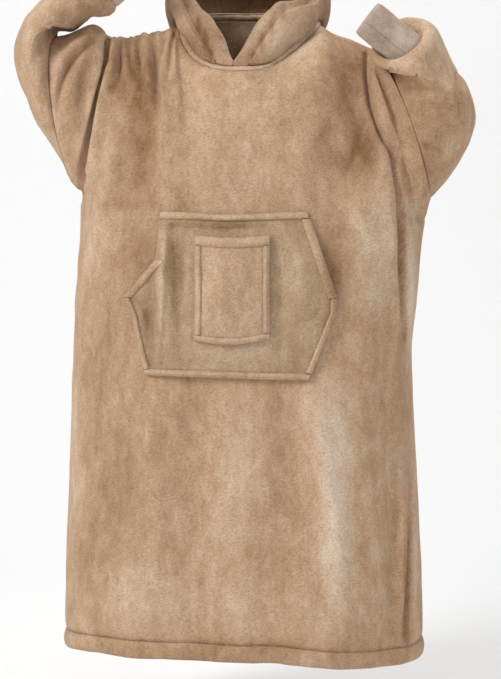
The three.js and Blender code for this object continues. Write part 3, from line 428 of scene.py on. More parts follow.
# Meshes: a cloth wall is an outer and an inner grid with rounded rims
def add_mesh(name, points, faces, material, tone=0.0):
    mesh = bpy.data.meshes.new(name)
    mesh.from_pydata((np.asarray(points) * MM).tolist(), [], [tuple(f) for f in faces])
    mesh.validate()
    mesh.polygons.foreach_set("use_smooth", np.ones(len(mesh.polygons), dtype=bool))
    mesh.update()
    # Per-point tone: the pile's mottling together with painted shade and light.
    nap_and_shade = mesh.attributes.new("nap_and_shade", "FLOAT", "POINT")
    nap_and_shade.data.foreach_set("value", (nap_and_shade_tone(np.asarray(points)) + tone).astype(np.float32))
    obj = bpy.data.objects.new(name, mesh)
    bpy.context.scene.collection.objects.link(obj)
    mesh.materials.append(material)
    return obj


def quads(index, closed):
    """Faces of an index grid."""
    columns = index.shape[1]
    right = np.roll(index, -1, axis=1)
    if not closed:
        index, right = index[:, :columns - 1], right[:, :columns - 1]
    return np.stack([index[:-1], right[:-1], right[1:], index[1:]], axis=-1).reshape(-1, 4)


def orient(points, faces):
    """Faces turned so that a closed wall's outside faces out."""
    a, b, c, d = (points[faces[:, k]] for k in range(4))
    volume = np.sum(a * np.cross(b, c)) + np.sum(a * np.cross(c, d))
    return faces[:, ::-1] if volume < 0 else faces


def cloth_wall(name, outer, inner, closed, material, bulge=0.0, tone=0.0):
    """Closed wall; every free edge gets a rim whose middle stands out by bulge."""
    rows, columns = outer.shape[:2]
    points = [outer.reshape(-1, 3), inner.reshape(-1, 3)]
    top = np.arange(rows * columns).reshape(rows, columns)
    low = top + rows * columns
    faces = [quads(top, closed), quads(low, closed)[:, ::-1]]
    count = 2 * rows * columns

    def rim(edge_top, edge_low, edge_out, edge_in, away, turned, ring):
        nonlocal count
        middle = (edge_out + edge_in) / 2 + unit(away) * bulge
        points.append(middle)
        mids = np.arange(count, count + len(middle))
        count += len(middle)
        for first, second in ((edge_top, mids), (mids, edge_low)):
            strip = quads(np.stack([second, first]), ring)
            faces.append(strip[:, ::-1] if turned else strip)

    rim(top[0], low[0], outer[0], inner[0], outer[0] - outer[1], False, closed)
    rim(top[-1], low[-1], outer[-1], inner[-1], outer[-1] - outer[-2], True, closed)
    if not closed:
        rim(top[:, 0], low[:, 0], outer[:, 0], inner[:, 0], outer[:, 0] - outer[:, 1], True, False)
        rim(top[:, -1], low[:, -1], outer[:, -1], inner[:, -1], outer[:, -1] - outer[:, -2],
            False, False)
    points = np.concatenate(points)
    return add_mesh(name, points, orient(points, np.concatenate(faces)), material, tone)


def inner_wall(outer, wall, closed, flip, fixed=None):
    """Inner grid: outer points moved along their normals, or along fixed directions where given."""
    inward = normals(outer, closed) * flip
    if fixed is not None:
        known = ~np.isnan(fixed[..., 0])
        inward[known] = unit(fixed[known])
    return outer + inward * wall


def dress(obj, node):
    """Hide the CAD part of the node the piece stands for, and attach the piece to the root body."""
    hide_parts(node)
    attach(obj, "root")


# Materials
def nodes_of(name):
    material = bpy.data.materials.new(name)
    material.use_nodes = True
    tree = material.node_tree
    return material, tree, tree.nodes["Principled BSDF"]


def fill(node, values):
    for socket, value in values.items():
        node.inputs[socket].default_value = value


def add_node(tree, kind, source, values, output="Vector"):
    """New node with plain values, fed by one source; gives one of its outputs."""
    node = tree.nodes.new("ShaderNode" + kind)
    fill(node, values)
    tree.links.new(source, node.inputs["Height" if kind == "Bump" else "Vector"])
    return node.outputs[output]


def noise(tree, place, stretch, scale, detail, roughness, distortion=0.0):
    """Noise of a place stretched along the axes."""
    stretched = add_node(tree, "Mapping", place, {"Scale": stretch})
    return add_node(tree, "TexNoise", stretched, {"Scale": scale, "Detail": detail,
                    "Roughness": roughness, "Distortion": distortion}, "Fac")


def ramp(tree, factor, *stops):
    node = tree.nodes.new("ShaderNodeValToRGB")
    elements = node.color_ramp.elements
    while len(elements) < len(stops):
        elements.new(0.5)
    for element, (place, colour) in zip(elements, stops):
        element.position = place
        element.color = (*colour, 1)
    tree.links.new(factor, node.inputs["Fac"])
    return node.outputs["Color"]


def multiplied(tree, factor, a, b):
    """Colour a darkened and lightened by colour b."""
    node = tree.nodes.new("ShaderNodeMix")
    node.data_type = "RGBA"
    node.blend_type = "MULTIPLY"
    node.inputs["Factor"].default_value = factor
    tree.links.new(a, node.inputs["A"])
    tree.links.new(b, node.inputs["B"])
    return node.outputs["Result"]


def weighted(tree, *terms):
    """Sum of values, each times its weight."""
    total = None
    for value, weight in terms:
        node = tree.nodes.new("ShaderNodeMath")
        node.operation = "MULTIPLY" if total is None else "MULTIPLY_ADD"
        node.inputs[1].default_value = weight
        tree.links.new(value, node.inputs[0])
        if total is not None:
            tree.links.new(total, node.inputs[2])
        total = node.outputs[0]
    return total


def srgb(r, g, b):
    """Linear colour of an sRGB one from 0 to 255."""
    def linear(value):
        value /= 255
        return value / 12.92 if value <= 0.04045 else ((value + 0.055) / 1.055) ** 2.4
    return linear(r), linear(g), linear(b)


def finish(tree, shader, colour, height, strength, distance, values):
    """Wire colour and bump to the shader and set its plain values."""
    fill(shader, values)
    tree.links.new(colour, shader.inputs["Base Color"])
    bump = add_node(tree, "Bump", height, {"Strength": strength, "Distance": distance}, "Normal")
    tree.links.new(bump, shader.inputs["Normal"])


def plush_material(name, dark, middle, light, nap_scale=1.0, seed=0.0):
    """Brushed fleece: mottled patches of the pile, fine crosswise pile and soft fuzz; the per-point tone
    adds painted shade and light.
    """
    material, tree, shader = nodes_of(name)
    coordinates = tree.nodes.new("ShaderNodeTexCoord").outputs["Object"]
    place = add_node(tree, "Mapping", coordinates, {"Location": (seed, seed * 0.7, seed * 1.3)})
    patches = noise(tree, place, (1.0, 1.0, 0.42), 13.0 * nap_scale, 7.0, 0.66, 0.4)
    strokes = noise(tree, place, (1.0, 1.0, 0.55), 60.0 * nap_scale, 5.0, 0.66, 0.2)
    pile = noise(tree, place, (0.55, 0.55, 1.0), 520.0, 3.0, 0.65)
    fibres = noise(tree, place, (1.0, 1.0, 1.0), 1100.0, 2.0, 0.6)
    # The per-point tone carries painted shade and light as well as the pile's mottling.
    brushed_and_shaded = tree.nodes.new("ShaderNodeAttribute")
    brushed_and_shaded.attribute_name = "nap_and_shade"
    nap_and_shade = weighted(tree, (patches, 0.64), (strokes, 0.46), (brushed_and_shaded.outputs["Fac"], 0.36))
    colour = ramp(tree, nap_and_shade, (0.22, dark), (0.55, middle), (0.92, light))
    grain = ramp(tree, pile, (0.32, (0.70, 0.69, 0.67)), (0.50, (0.97, 0.97, 0.97)),
                 (0.68, (1.18, 1.18, 1.17)))
    finish(tree, shader, multiplied(tree, 0.85, colour, grain),
           weighted(tree, (pile, 1.0), (fibres, 0.35), (strokes, 0.9)), 0.8, 0.002,
           {"Roughness": 0.92, "Specular IOR Level": 0.12, "Sheen Weight": 0.30,
            "Sheen Roughness": 0.45, "Sheen Tint": (*light, 1)})
    return material


def knit_material(name, dark, light):
    """Rib knit: fine stitches along the ribs, which are in the mesh."""
    material, tree, shader = nodes_of(name)
    coordinates = tree.nodes.new("ShaderNodeTexCoord").outputs["Object"]
    patches = noise(tree, coordinates, (1.0, 1.0, 1.0), 22.0, 4.0, 0.6)
    stitches = noise(tree, coordinates, (1.0, 1.0, 1.0), 620.0, 2.0, 0.6)
    colour = ramp(tree, weighted(tree, (patches, 1.0), (stitches, 0.6)), (0.6, dark), (1.0, light))
    finish(tree, shader, colour, stitches, 0.6, 0.001,
           {"Roughness": 0.9, "Specular IOR Level": 0.15, "Sheen Weight": 0.25,
            "Sheen Roughness": 0.5})
    return material


# The pocket, the hood and the phone pocket take the body's plush in darker and lighter copies: painted
# shade on the kangaroo pocket and the hood, painted light on the phone pocket and the strips.
body_cloth = plush_material("body_cloth", srgb(136, 99, 66), srgb(188, 155, 125), srgb(225, 203, 181))
shaded_pocket_cloth = plush_material("shaded_pocket_cloth", srgb(136, 106, 74), srgb(179, 151, 122),
                              srgb(211, 188, 163), 1.4, 3.1)
lit_phone_cloth = plush_material("lit_phone_cloth", srgb(146, 114, 82), srgb(190, 160, 131),
                             srgb(220, 196, 171), 1.6, 4.3)
shaded_hood_cloth = plush_material("shaded_hood_cloth", srgb(128, 96, 68), srgb(171, 140, 113),
                            srgb(207, 182, 156), 1.2, 5.7)
knit_cloth = knit_material("knit_cloth", srgb(156, 135, 118), srgb(204, 184, 168))


# Body panels; how deep seams roll in, and how far from the seam, in mm
NU = 201
LOWER = 100
UPPER = 100
panel_u = np.linspace(0, 1, NU)
SEAM_ROLL = 2.6
SEAM_REACH = 7.0
SHOULDER_ROLL = 1.6
HEM_REACH = 6.0
PUCKER = 0.6
PUCKER_REACH = 16.0
SIDE_CALM = 0.035


def edge_distance(grid, edge):
    """Distance along each row from its first point, edge 0, or from its last, edge -1."""
    steps = np.linalg.norm(np.diff(grid, axis=1), axis=-1)
    forward = np.concatenate([np.zeros((len(grid), 1)), np.cumsum(steps, axis=1)], axis=1)
    return forward if edge == 0 else forward[:, -1:] - forward


def fading(far, reach):
    return np.exp(-(far / reach) ** 2)


# Creases of the front as seen in the photograph, in its pixels: line, width, depth in mm
front_creases = [
    ([(108, 44), (106, 63), (97, 101), (91, 133), (84, 168), (80, 200)], 2.6, 13),
    ([(101, 40), (99, 66), (89, 102), (83, 134), (77, 166)], 6.0, -12),
    ([(114, 46), (112, 66), (103, 104), (97, 136), (90, 170)], 4.5, -9),
    ([(366, 56), (366, 78), (369, 104), (379, 130), (387, 143), (396, 158)], 2.6, 13),
    ([(376, 60), (375, 80), (379, 104), (388, 126), (397, 142)], 6.0, -12),
    ([(96, 42), (84, 52), (74, 62), (66, 76), (61, 92), (58, 112)], 3.6, 11),
    ([(88, 40), (76, 48), (64, 60), (57, 74)], 5.0, -7),
    ([(82, 62), (76, 78), (74, 104), (76, 130)], 6.0, -5),
    ([(52, 36), (51, 60), (52, 96)], 4.0, -3),
    ([(111, 41), (109, 52), (108, 66)], 2.4, 9),
    ([(121, 40), (121, 56), (120, 78), (114, 92)], 2.6, 12),
    ([(128, 38), (131, 63), (137, 80)], 2.4, 11),
    ([(137, 36), (139, 54), (143, 90)], 2.8, 12),
    ([(152, 32), (155, 52), (156, 77), (158, 108)], 2.8, 13),
    ([(164, 30), (163, 48), (160, 66)], 2.4, 9),
    ([(178, 29), (172, 48), (169, 80)], 2.8, 9),
    ([(180, 34), (180, 61), (184, 92), (186, 130)], 3.2, 6),
    ([(116, 40), (115, 70)], 3.0, -7),
    ([(132, 40), (134, 60)], 2.6, -6),
    ([(145, 36), (148, 70), (150, 110)], 4.0, -8),
    ([(159, 34), (163, 80), (165, 120)], 4.0, -5),
    ([(171, 60), (167, 130), (162, 205)], 9.0, -5),
    ([(147, 80), (143, 140), (146, 205)], 9.0, 5),
    ([(192, 80), (190, 140), (186, 205)], 8.0, 4),
    ([(212, 80), (222, 130), (226, 190)], 10.0, -3),
    ([(300, 62), (330, 110), (352, 150)], 9.0, -4),
    ([(367, 118), (358, 150), (344, 182)], 6.0, 5),
    ([(388, 118), (372, 160), (352, 192), (345, 230)], 10.0, 4),
    ([(336, 120), (322, 150), (318, 200)], 10.0, 4),
    ([(391, 150), (394, 170), (398, 195), (400, 230), (401, 268), (404, 305), (406, 335)], 2.4, 20),
    ([(396, 170), (404, 230), (406, 300)], 4.0, -6),
    ([(384, 160), (388, 196), (391, 230), (392, 280)], 6.0, -5),
    ([(406, 150), (409, 180), (409, 210)], 5.0, -6),
    ([(403, 160), (407, 186), (411, 216)], 2.4, 7),
    ([(402, 211), (410, 217), (423, 219)], 2.2, 6),
    ([(233, 385), (232, 440), (234, 520), (236, 600)], 2.6, -3.2),
    ([(247, 385), (248, 450), (246, 540), (248, 620)], 2.6, -3.4),
    ([(240, 385), (240, 460), (241, 560)], 3.0, 2.6),
    ([(318, 390), (326, 470), (338, 560), (350, 640)], 11.0, -7),
    ([(300, 420), (306, 500), (326, 600)], 11.0, 4),
    ([(392, 420), (396, 520), (396, 640)], 7.0, 8),
    ([(414, 480), (411, 575), (407, 650)], 2.4, 16),
    ([(404, 500), (402, 580), (399, 640)], 5.0, -6),
    ([(296, 400), (290, 480), (298, 600)], 14.0, 3),
    ([(200, 395), (196, 470), (190, 560)], 12.0, 3),
    ([(120, 380), (112, 460), (116, 560)], 13.0, 4),
    ([(96, 250), (92, 330), (92, 420)], 10.0, 4),
    ([(150, 420), (156, 520), (150, 610)], 12.0, -3),
    ([(118, 120), (108, 180), (100, 240)], 9.0, -4),
    ([(128, 150), (122, 210), (120, 280)], 8.0, 4),
]
# The back hangs smoother, with soft folds from the shoulders and hood; same kind of places
back_creases = [
    ([(120, 44), (118, 90), (112, 140)], 5.0, 5),
    ([(140, 42), (142, 90), (150, 150)], 5.0, 5),
    ([(160, 40), (164, 110), (160, 200)], 8.0, -4),
    ([(372, 70), (360, 120), (345, 180)], 8.0, 6),
    ([(350, 60), (344, 110), (330, 160)], 8.0, -4),
    ([(180, 240), (176, 380), (170, 560)], 13.0, 5),
    ([(250, 220), (256, 400), (250, 620)], 14.0, -5),
    ([(320, 240), (330, 400), (340, 600)], 13.0, 5),
    ([(396, 230), (398, 330), (396, 520)], 8.0, 6),
    ([(92, 260), (90, 360), (96, 520)], 9.0, 5),
    ([(130, 420), (136, 520), (128, 620)], 10.0, -4),
]


def panel_life(is_front, points, u):
    """Depth of the fine creases and of the cloth's own unevenness, in mm along Y."""
    px, py = seen(points)
    depth = crease_depth(px, py, front_creases if is_front else back_creases)
    depth = depth + 1.6 * lattice_noise(points, (60, 200, 95), 3 if is_front else 4)
    depth = depth + 0.7 * lattice_noise(points, (22, 200, 30), 5)
    return depth * smooth(np.minimum(u, 1 - u) / SIDE_CALM)


RELAX_PASSES = 90
RELAX_ROWS = 45.0
RELAX_SHARE = 0.09
RELAX_PULL = 0.9


def relax(grid, u):
    """Even out the cloth below the two corners of the neckline; edges stay."""
    rows_off = fading(np.arange(len(grid))[::-1, None], RELAX_ROWS)
    calm = rows_off * np.maximum(*(fading(u - at, RELAX_SHARE) for at in (NECK_FIRST, NECK_LAST)))
    for _ in range(RELAX_PASSES):
        average = (grid[:-2, 1:-1] + grid[2:, 1:-1] + grid[1:-1, :-2] + grid[1:-1, 2:]) / 4
        grid = grid.copy()
        grid[1:-1, 1:-1] += (average - grid[1:-1, 1:-1]) * RELAX_PULL * calm[1:-1, 1:-1, None]
    return grid


def body_panel(is_front, name):
    u = panel_u
    low = column(hem, "turn", 180 * u if is_front else 360 - 180 * u, "z") + HEM_BAND_HEIGHT
    lower = [lower_point(is_front, u, mix(low, under_level(u), v))
             for v in np.linspace(0, 1, LOWER, endpoint=False)]
    v = np.linspace(0, 1, UPPER)
    upper = upper_grid(is_front, u, v)
    turns = armhole_turn(is_front, v)
    for side, at, share in (("left", 0, u), ("right", -1, 1 - u)):
        weight = np.maximum(0, 1 - share / ARMHOLE_BLEND) ** 2
        to_body = armhole_frame(side)[3]
        miss = armhole_point(side, turns) + to_body * ARMHOLE_GAP - upper[:, at]
        upper = upper + miss[:, None] * weight[None, :, None]
    outer = np.concatenate([np.array(lower), relax(upper, u)])
    shift = -HALF_GAP if is_front else HALF_GAP
    outer[:LOWER + 1, [0, -1], 1] += shift
    shoulder = (u <= NECK_FIRST) | (u >= NECK_LAST)
    outer[-1, shoulder, 1] += shift

    flip = -1 if is_front else 1
    out = -flip * normals(outer, False)
    rows_up = np.arange(LOWER + UPPER)[:, None]
    calm = np.maximum(smooth(rows_up[::-1] / 7.0), 0.25) * smooth(rows_up / 4.0)
    outer = outer - out * (panel_life(is_front, outer, u[None]) * calm)[..., None]

    # Seams: the cloth rolls in towards the side seams, armholes, shoulders and hem band
    for edge, side in ((0, "left"), (-1, "right")):
        inward = np.repeat(-out[:, edge][:, None], NU, axis=1)
        inward[LOWER:] = armhole_inward(side, turns)[:, None]
        roll = SEAM_ROLL * fading(edge_distance(outer, edge), SEAM_REACH)
        outer = outer + inward * roll[..., None]
    to_top = edge_distance(np.swapaxes(outer, 0, 1), -1).T
    outer[..., 2] -= SHOULDER_ROLL * fading(to_top, SEAM_REACH)
    to_hem = edge_distance(np.swapaxes(outer, 0, 1), 0).T
    pucker = PUCKER * lattice_noise(outer, (9, 60, 16), 8) * fading(to_hem, PUCKER_REACH)
    outer = outer - out * (SEAM_ROLL * fading(to_hem, HEM_REACH) + pucker)[..., None]

    fixed = np.full(outer.shape, np.nan)
    fixed[:LOWER, 0] = (1, 0, 0)
    fixed[:LOWER, -1] = (-1, 0, 0)
    fixed[LOWER:, 0] = armhole_inward("left", turns)
    fixed[LOWER:, -1] = armhole_inward("right", turns)
    fixed[-1] = (0, 0, -1)
    inner = inner_wall(outer, PLUSH, False, flip, fixed)
    return cloth_wall(name, outer, inner, False, body_cloth)


front = body_panel(True, "front_shell")
back = body_panel(False, "back_shell")


# Hem band
HEM_ROWS = 12
HEM_AROUND = 400


def hem_band():
    turn = np.arange(HEM_AROUND) * 360.0 / HEM_AROUND
    is_front = (turn <= 180)[:, None]
    u = np.minimum(turn / 180, 2 - turn / 180)
    low = column(hem, "turn", turn, "z")
    share = np.linspace(0, 1, HEM_ROWS + 1)[:, None]
    z = mix(low, low + HEM_BAND_HEIGHT - SEAM_GAP - 0.1, share)
    outer = np.array([np.where(is_front, lower_point(True, u, row), lower_point(False, u, row))
                      for row in z])
    out = normals(outer, True)
    puff = 3.4 * np.sin(np.pi * np.clip(share, 0, 1)) ** 0.6 - 1.6
    life = 0.9 * lattice_noise(outer, (14, 60, 40), 21) * np.sin(np.pi * share)
    life = life + 1.0 * lattice_noise(outer, (50, 90, 60), 22)
    outer = outer + out * (puff + life)[..., None]
    outer[..., 2] += 0.8 * lattice_noise(outer, (16, 60, 400), 23) * (1 - share)
    inner = outer - out * (PLUSH + 1.5)
    return cloth_wall("hem_shell", outer, inner, True, body_cloth, 1.6)


hem_piece = hem_band()

# Sleeves: sections as rings, outer and inner point in the front view, reach and lag of the front
ring_names = "outX outY outZ inX inY inZ front back tilt bow"
left_rings = table(ring_names, [
    (-265, -4, -182, -268, -22, -2, 88, 76, 0, 20), (-291, -8, -133, -266, -23, 0, 90, 78, 0, 20),
    (-316, -12, -86, -262, -24, 1, 90, 78, 0, 14), (-332, -16, -44, -256, -25, 4, 88, 76, 2, 6),
    (-325, -20, -5, -247, -26, 5, 84, 70, 4, 0), (-303, -26, 32, -236, -28, 11, 78, 62, 6, 0),
    (-280, -32, 56, -221, -32, 17, 70, 54, 6, 0), (-260, -38, 76, -205, -38, 18, 60, 48, 4, 0),
    (-241, -42, 87, -192, -44, 20, 48, 42, 2, 0), (-223, -44, 90, -181, -48, 31, 34, 32, 0, 0)])
right_rings = table(ring_names, [
    (302, -6, -210, 210, -36, -52.5, 85, 72, 0, 0), (326, -12, -170, 209, -49, -52, 83, 76, 2, 0),
    (338, -18, -124, 206, -63, -51.5, 84, 80, 6, 0), (327, -24, -84, 202, -74, -51.5, 80, 78, 10, 0),
    (306, -30, -50, 197, -82, -51, 72, 70, 18, 0), (289, -36, -18, 190, -87, -50, 64, 60, 26, 0),
    (273, -42, 7, 185, -90, -47, 56, 50, 30, 0), (261, -47, 10, 189, -90, -40, 48, 42, 28, 0),
    (256, -52, 1, 200, -88, -43, 39, 36, 16, 0), (259, -56, -11, 221, -86, -59, 31, 31, 3, 0)])
RING = 160
STEPS = 150
GATHERS = 17
GATHER_DEPTH = 1.6
GATHER_REACH = 14.0
turns_round = np.linspace(0, 2 * np.pi, RING, endpoint=False)

left_sleeve_creases = [
    ([(58, 29), (72, 29), (88, 24)], 4.0, -5),
    ([(54, 29), (62, 44), (62, 66), (56, 92)], 4.5, 5),
    ([(84, 44), (74, 58), (66, 76), (61, 95), (60, 112)], 4.0, 5),
    ([(96, 44), (84, 54), (74, 66)], 3.5, 4),
    ([(30, 40), (26, 70), (32, 100)], 6.0, 3),
    ([(44, 60), (40, 90), (48, 120)], 6.0, -3),
    ([(52, 130), (62, 160), (72, 186)], 4.5, 4),
    ([(20, 50), (34, 26), (56, 8)], 7.0, -3),
    ([(36, 60), (52, 34), (78, 22)], 5.0, 3),
    ([(60, 100), (68, 140), (74, 170)], 5.0, -3),
    ([(96, 22), (88, 10), (78, 4)], 4.0, 3),
]
right_sleeve_creases = [
    ([(400, 92), (412, 92), (424, 96)], 3.2, 7),
    ([(411, 142), (424, 146), (441, 153)], 3.0, 7),
    ([(420, 104), (438, 112), (456, 108)], 5.0, 4),
    ([(410, 118), (424, 124), (444, 130)], 5.0, -3),
    ([(430, 62), (440, 84), (452, 98)], 4.5, 4),
    ([(455, 76), (459, 105), (462, 122)], 2.4, 9),
    ([(450, 80), (453, 104), (455, 120)], 4.0, -4),
    ([(420, 170), (428, 178), (434, 180)], 3.0, 5),
    ([(408, 150), (416, 176), (421, 194)], 3.0, 5),
    ([(412, 84), (422, 92), (436, 96)], 4.5, 4),
    ([(404, 160), (412, 178), (420, 192)], 4.5, -3),
]


def sleeve(side, rings, creases, name):
    flip = -1 if side == "left" else 1
    turns = turns_round
    sine = np.sin(turns)
    knots = [armhole_point(side, turns)]
    for values in zip(*rings.values()):
        row = dict(zip(rings, values))
        far, near = (np.array([row[end + axis] for axis in "XYZ"]) for end in ("out", "in"))
        centre, half = (far + near) / 2, (far - near) / 2
        path = flip * unit(np.array([-half[2], 0, half[0]]))
        ring = centre + half * np.cos(turns)[:, None]
        ring[:, 1] += np.where(sine > 0, -row["front"], row["back"]) * np.abs(sine)
        knots.append(ring + path * (row["bow"] * np.abs(sine) - row["tilt"] * sine)[:, None])
    outer = curve(np.array(knots), STEPS)
    out = -flip * normals(outer, True)
    depth = crease_depth(*seen(outer), creases)
    depth = depth + 2.2 * lattice_noise(outer, (42, 50, 42), 31 if side == "left" else 32)
    depth = depth + 0.8 * lattice_noise(outer, (18, 24, 18), 33)
    across = np.swapaxes(outer, 0, 1)
    from_hole, to_end = edge_distance(across, 0).T, edge_distance(across, -1).T
    outer = outer - out * (depth * smooth(from_hole / 12.0) * smooth(to_end / 26.0))[..., None]
    outer = outer + armhole_inward(side, turns) * (SEAM_ROLL * fading(from_hole, SEAM_REACH))[..., None]
    middle = outer[-1].mean(axis=0)
    gather = GATHER_DEPTH * np.cos(GATHERS * turns) * fading(to_end, GATHER_REACH)
    tuck = gather * smooth(to_end / 3.0) + 1.5 * fading(to_end, 5.0)
    outer = outer + unit(middle - outer[-1]) * tuck[..., None]
    fixed = np.full(outer.shape, np.nan)
    fixed[0] = armhole_inward(side, turns)
    fixed[-1] = middle - outer[-1]
    inner = inner_wall(outer, PLUSH, True, flip, fixed)
    return outer, cloth_wall(name, outer, inner, True, body_cloth)


left_outer, left_sleeve = sleeve("left", left_rings, left_sleeve_creases, "sleeve_left_shell")
right_outer, right_sleeve = sleeve("right", right_rings, right_sleeve_creases, "sleeve_right_shell")

# Cuffs: ribbed tubes carried on from the sleeves' ends, with one lengthwise seam
RIBS = 58
CUFF_AROUND = 348
CUFF_ROWS = 40
CUFF_WAIST = 0.04
CUFF_SEAM = 1.6
RIB_DEPTH = 0.55


def cuff(side, sleeve_outer, length, direction, wrist, seam_turn, name):
    turns = np.linspace(0, 2 * np.pi, CUFF_AROUND, endpoint=False)
    ring = sleeve_outer[-1]
    closed_ring = np.concatenate([ring, ring[:1]])
    places = turns / (2 * np.pi) * len(ring)
    end = np.stack([np.interp(places, np.arange(len(closed_ring)), closed_ring[:, a])
                    for a in range(3)], axis=-1)
    centre = ring.mean(axis=0)
    along = unit(np.array(direction, float))
    spoke = end - centre
    share = np.linspace(0, 1, CUFF_ROWS)[:, None, None]
    scale = mix(1, wrist, share) * (1 - CUFF_WAIST * np.sin(np.pi * share))
    squared = spoke - along * (spoke @ along)[:, None] * share
    outer = centre + squared * scale + along * (SEAM_GAP + 0.1 + share * length)
    flip = -1 if side == "left" else 1
    out = -flip * normals(outer, True)
    share = share[..., 0]
    ribs = RIB_DEPTH * np.cos(RIBS * turns) * smooth(share / 0.05) * smooth((1 - share) / 0.05)
    seam = CUFF_SEAM * fading((turns - seam_turn + np.pi) % (2 * np.pi) - np.pi, 0.045)
    wrinkle = 0.9 * lattice_noise(outer, (26, 26, 26), 41)
    ends = 1.2 * fading(share, 0.06) + 1.0 * fading(1 - share, 0.05)
    outer = outer + out * (ribs - seam + wrinkle - ends)[..., None]
    fixed = np.full(outer.shape, np.nan)
    fixed[0] = centre - end
    inner = inner_wall(outer, KNIT, True, flip, fixed)
    return cloth_wall(name, outer, inner, True, knit_cloth, 1.0)


left_cuff = cuff("left", left_outer, 74, (0.8, -0.05, 0.6), 0.97, 2.2, "cuff_left_rib")
right_cuff = cuff("right", right_outer, 80, (-0.78, -0.04, 0.62), 0.98, 1.9, "cuff_right_rib")


# Neck seam: a raised welt all round the neck
WELT_AROUND = 260
WELT_SIDES = 16
WELT_LEAN = 0.35
WELT_TONE = 0.30


def neck_welt():
    angle = LEFT_NECK_ANGLE + 360.0 * np.arange(WELT_AROUND) / WELT_AROUND
    angle = np.where(angle > 180, angle - 360, angle)
    rows = []
    for turn in np.arange(WELT_SIDES) * 2 * math.pi / WELT_SIDES:
        out = (NECK_LIP_WIDTH / 2 + 0.8) * math.cos(turn)
        up = (NECK_LIP_HEIGHT / 2 + 1.0) * math.sin(turn)
        rows.append(neck_point(angle, out, up - WELT_LEAN * out))
    grid = np.array(rows)
    lump = 0.9 * lattice_noise(grid, (7, 7, 7), 51)
    grid = grid + unit(grid - grid.mean(axis=0, keepdims=True)) * lump[..., None]
    index = np.arange(WELT_SIDES * WELT_AROUND).reshape(WELT_SIDES, WELT_AROUND)
    points = grid.reshape(-1, 3)
    faces = quads(np.concatenate([index, index[:1]]), True)
    return add_mesh("neck_welt", points, orient(points, faces), body_cloth, WELT_TONE)


neck_piece = neck_welt()

# Hood, down on the back
hood_names = "angle underR underZ lowR lowZ outR outZ topR topZ dipR dipZ bandR bandZ rimR rimZ"
hood_left_rows = [
    (-33, 86, -51, 87.5, -49.5, 88.8, -47.6, 88.6, -46, 87, -45, 76, -31, 58, -18),
    (-53, 88, -38, 93, -30, 94, -20, 90, -11, 81, -15, 73, 1, 56, 6),
    (-77, 97, -9, 102, -1, 101, 7, 93, 16, 80, 8, 70, 22, 55, 21),
    (-100, 105, 22, 112, 28, 116, 34, 109, 47, 96, 43, 85, 51, 75, 40),
    (-125, 112, 20, 130, 0, 147, 26, 145, 76, 129, 80, 119, 82, 111, 66),
    (-152, 107, 20, 138, -66, 168, -14, 163, 74, 147, 84, 138, 85, 130, 68),
    (-180, 106, 20, 146, -112, 180, -40, 170, 68, 154, 80, 144, 82, 136, 65)]
hood_right_rows = [
    (2, 82.5, -52.2, 84, -50.8, 85, -49.4, 84.6, -48, 82.5, -47, 74, -28, 58, -8),
    (16, 84, -48, 88, -40, 88, -30, 84, -20, 75, -17, 66, 2, 50, 12),
    (45, 83, -26, 92, -12, 93, 6, 84, 24, 69, 23, 58, 36, 45, 31),
    (67, 92, -6, 101, 6, 102, 20, 95, 37, 80, 34, 70, 43, 58, 34),
    (88, 100, 15, 103, 20, 103, 30, 98, 43, 86, 41, 77, 50, 68, 40),
    (110, 110, 20, 122, 22, 128, 36, 124, 62, 110, 62, 101, 68, 92, 56),
    (130, 113, 20, 132, -8, 148, 22, 144, 72, 129, 78, 120, 81, 112, 65),
    (155, 107, 20, 138, -68, 169, -16, 163, 72, 147, 82, 138, 84, 130, 67),
    (180, 106, 20, 146, -112, 180, -40, 170, 68, 154, 80, 144, 82, 136, 65)]
HOOD_LAP = 0.2
HOOD_AROUND = 110
HOOD_UP = 90
HOOD_SEAM = 2.4
BAND_AROUND = 130
BAND_UP = 30


def polar(angle, radius, z):
    turn = np.radians(angle)
    return np.stack([NECK[0] + radius * np.sin(turn), NECK[1] - radius * np.cos(turn), z], axis=-1)


def inward_from(points):
    toward = np.array([NECK[0], NECK[1], 0]) - points
    toward[..., 2] = 0
    return toward


def calm_edges(grid, first, last, left, right):
    """One inside a grid, falling to nothing over so many rows and columns at its edges."""
    rows, columns = grid.shape[:2]
    i, j = np.ogrid[:rows, :columns]
    return (smooth(i / first) * smooth((rows - 1 - i) / last)
            * smooth(j / left) * smooth((columns - 1 - j) / right))


def hood_wall(side, name, outer, wall, fixed, bulge=0.0):
    """Wall whose last row meets the other side's at the middle of the back."""
    shift = HOOD_LAP if side == "left" else -HOOD_LAP
    outer[-1, :, 0] += shift
    inner = inner_wall(outer, wall, False, -1 if side == "left" else 1, fixed)
    inner[-1, :, 0] = NECK[0] + shift
    return cloth_wall(name, outer, inner, False, shaded_hood_cloth, bulge)


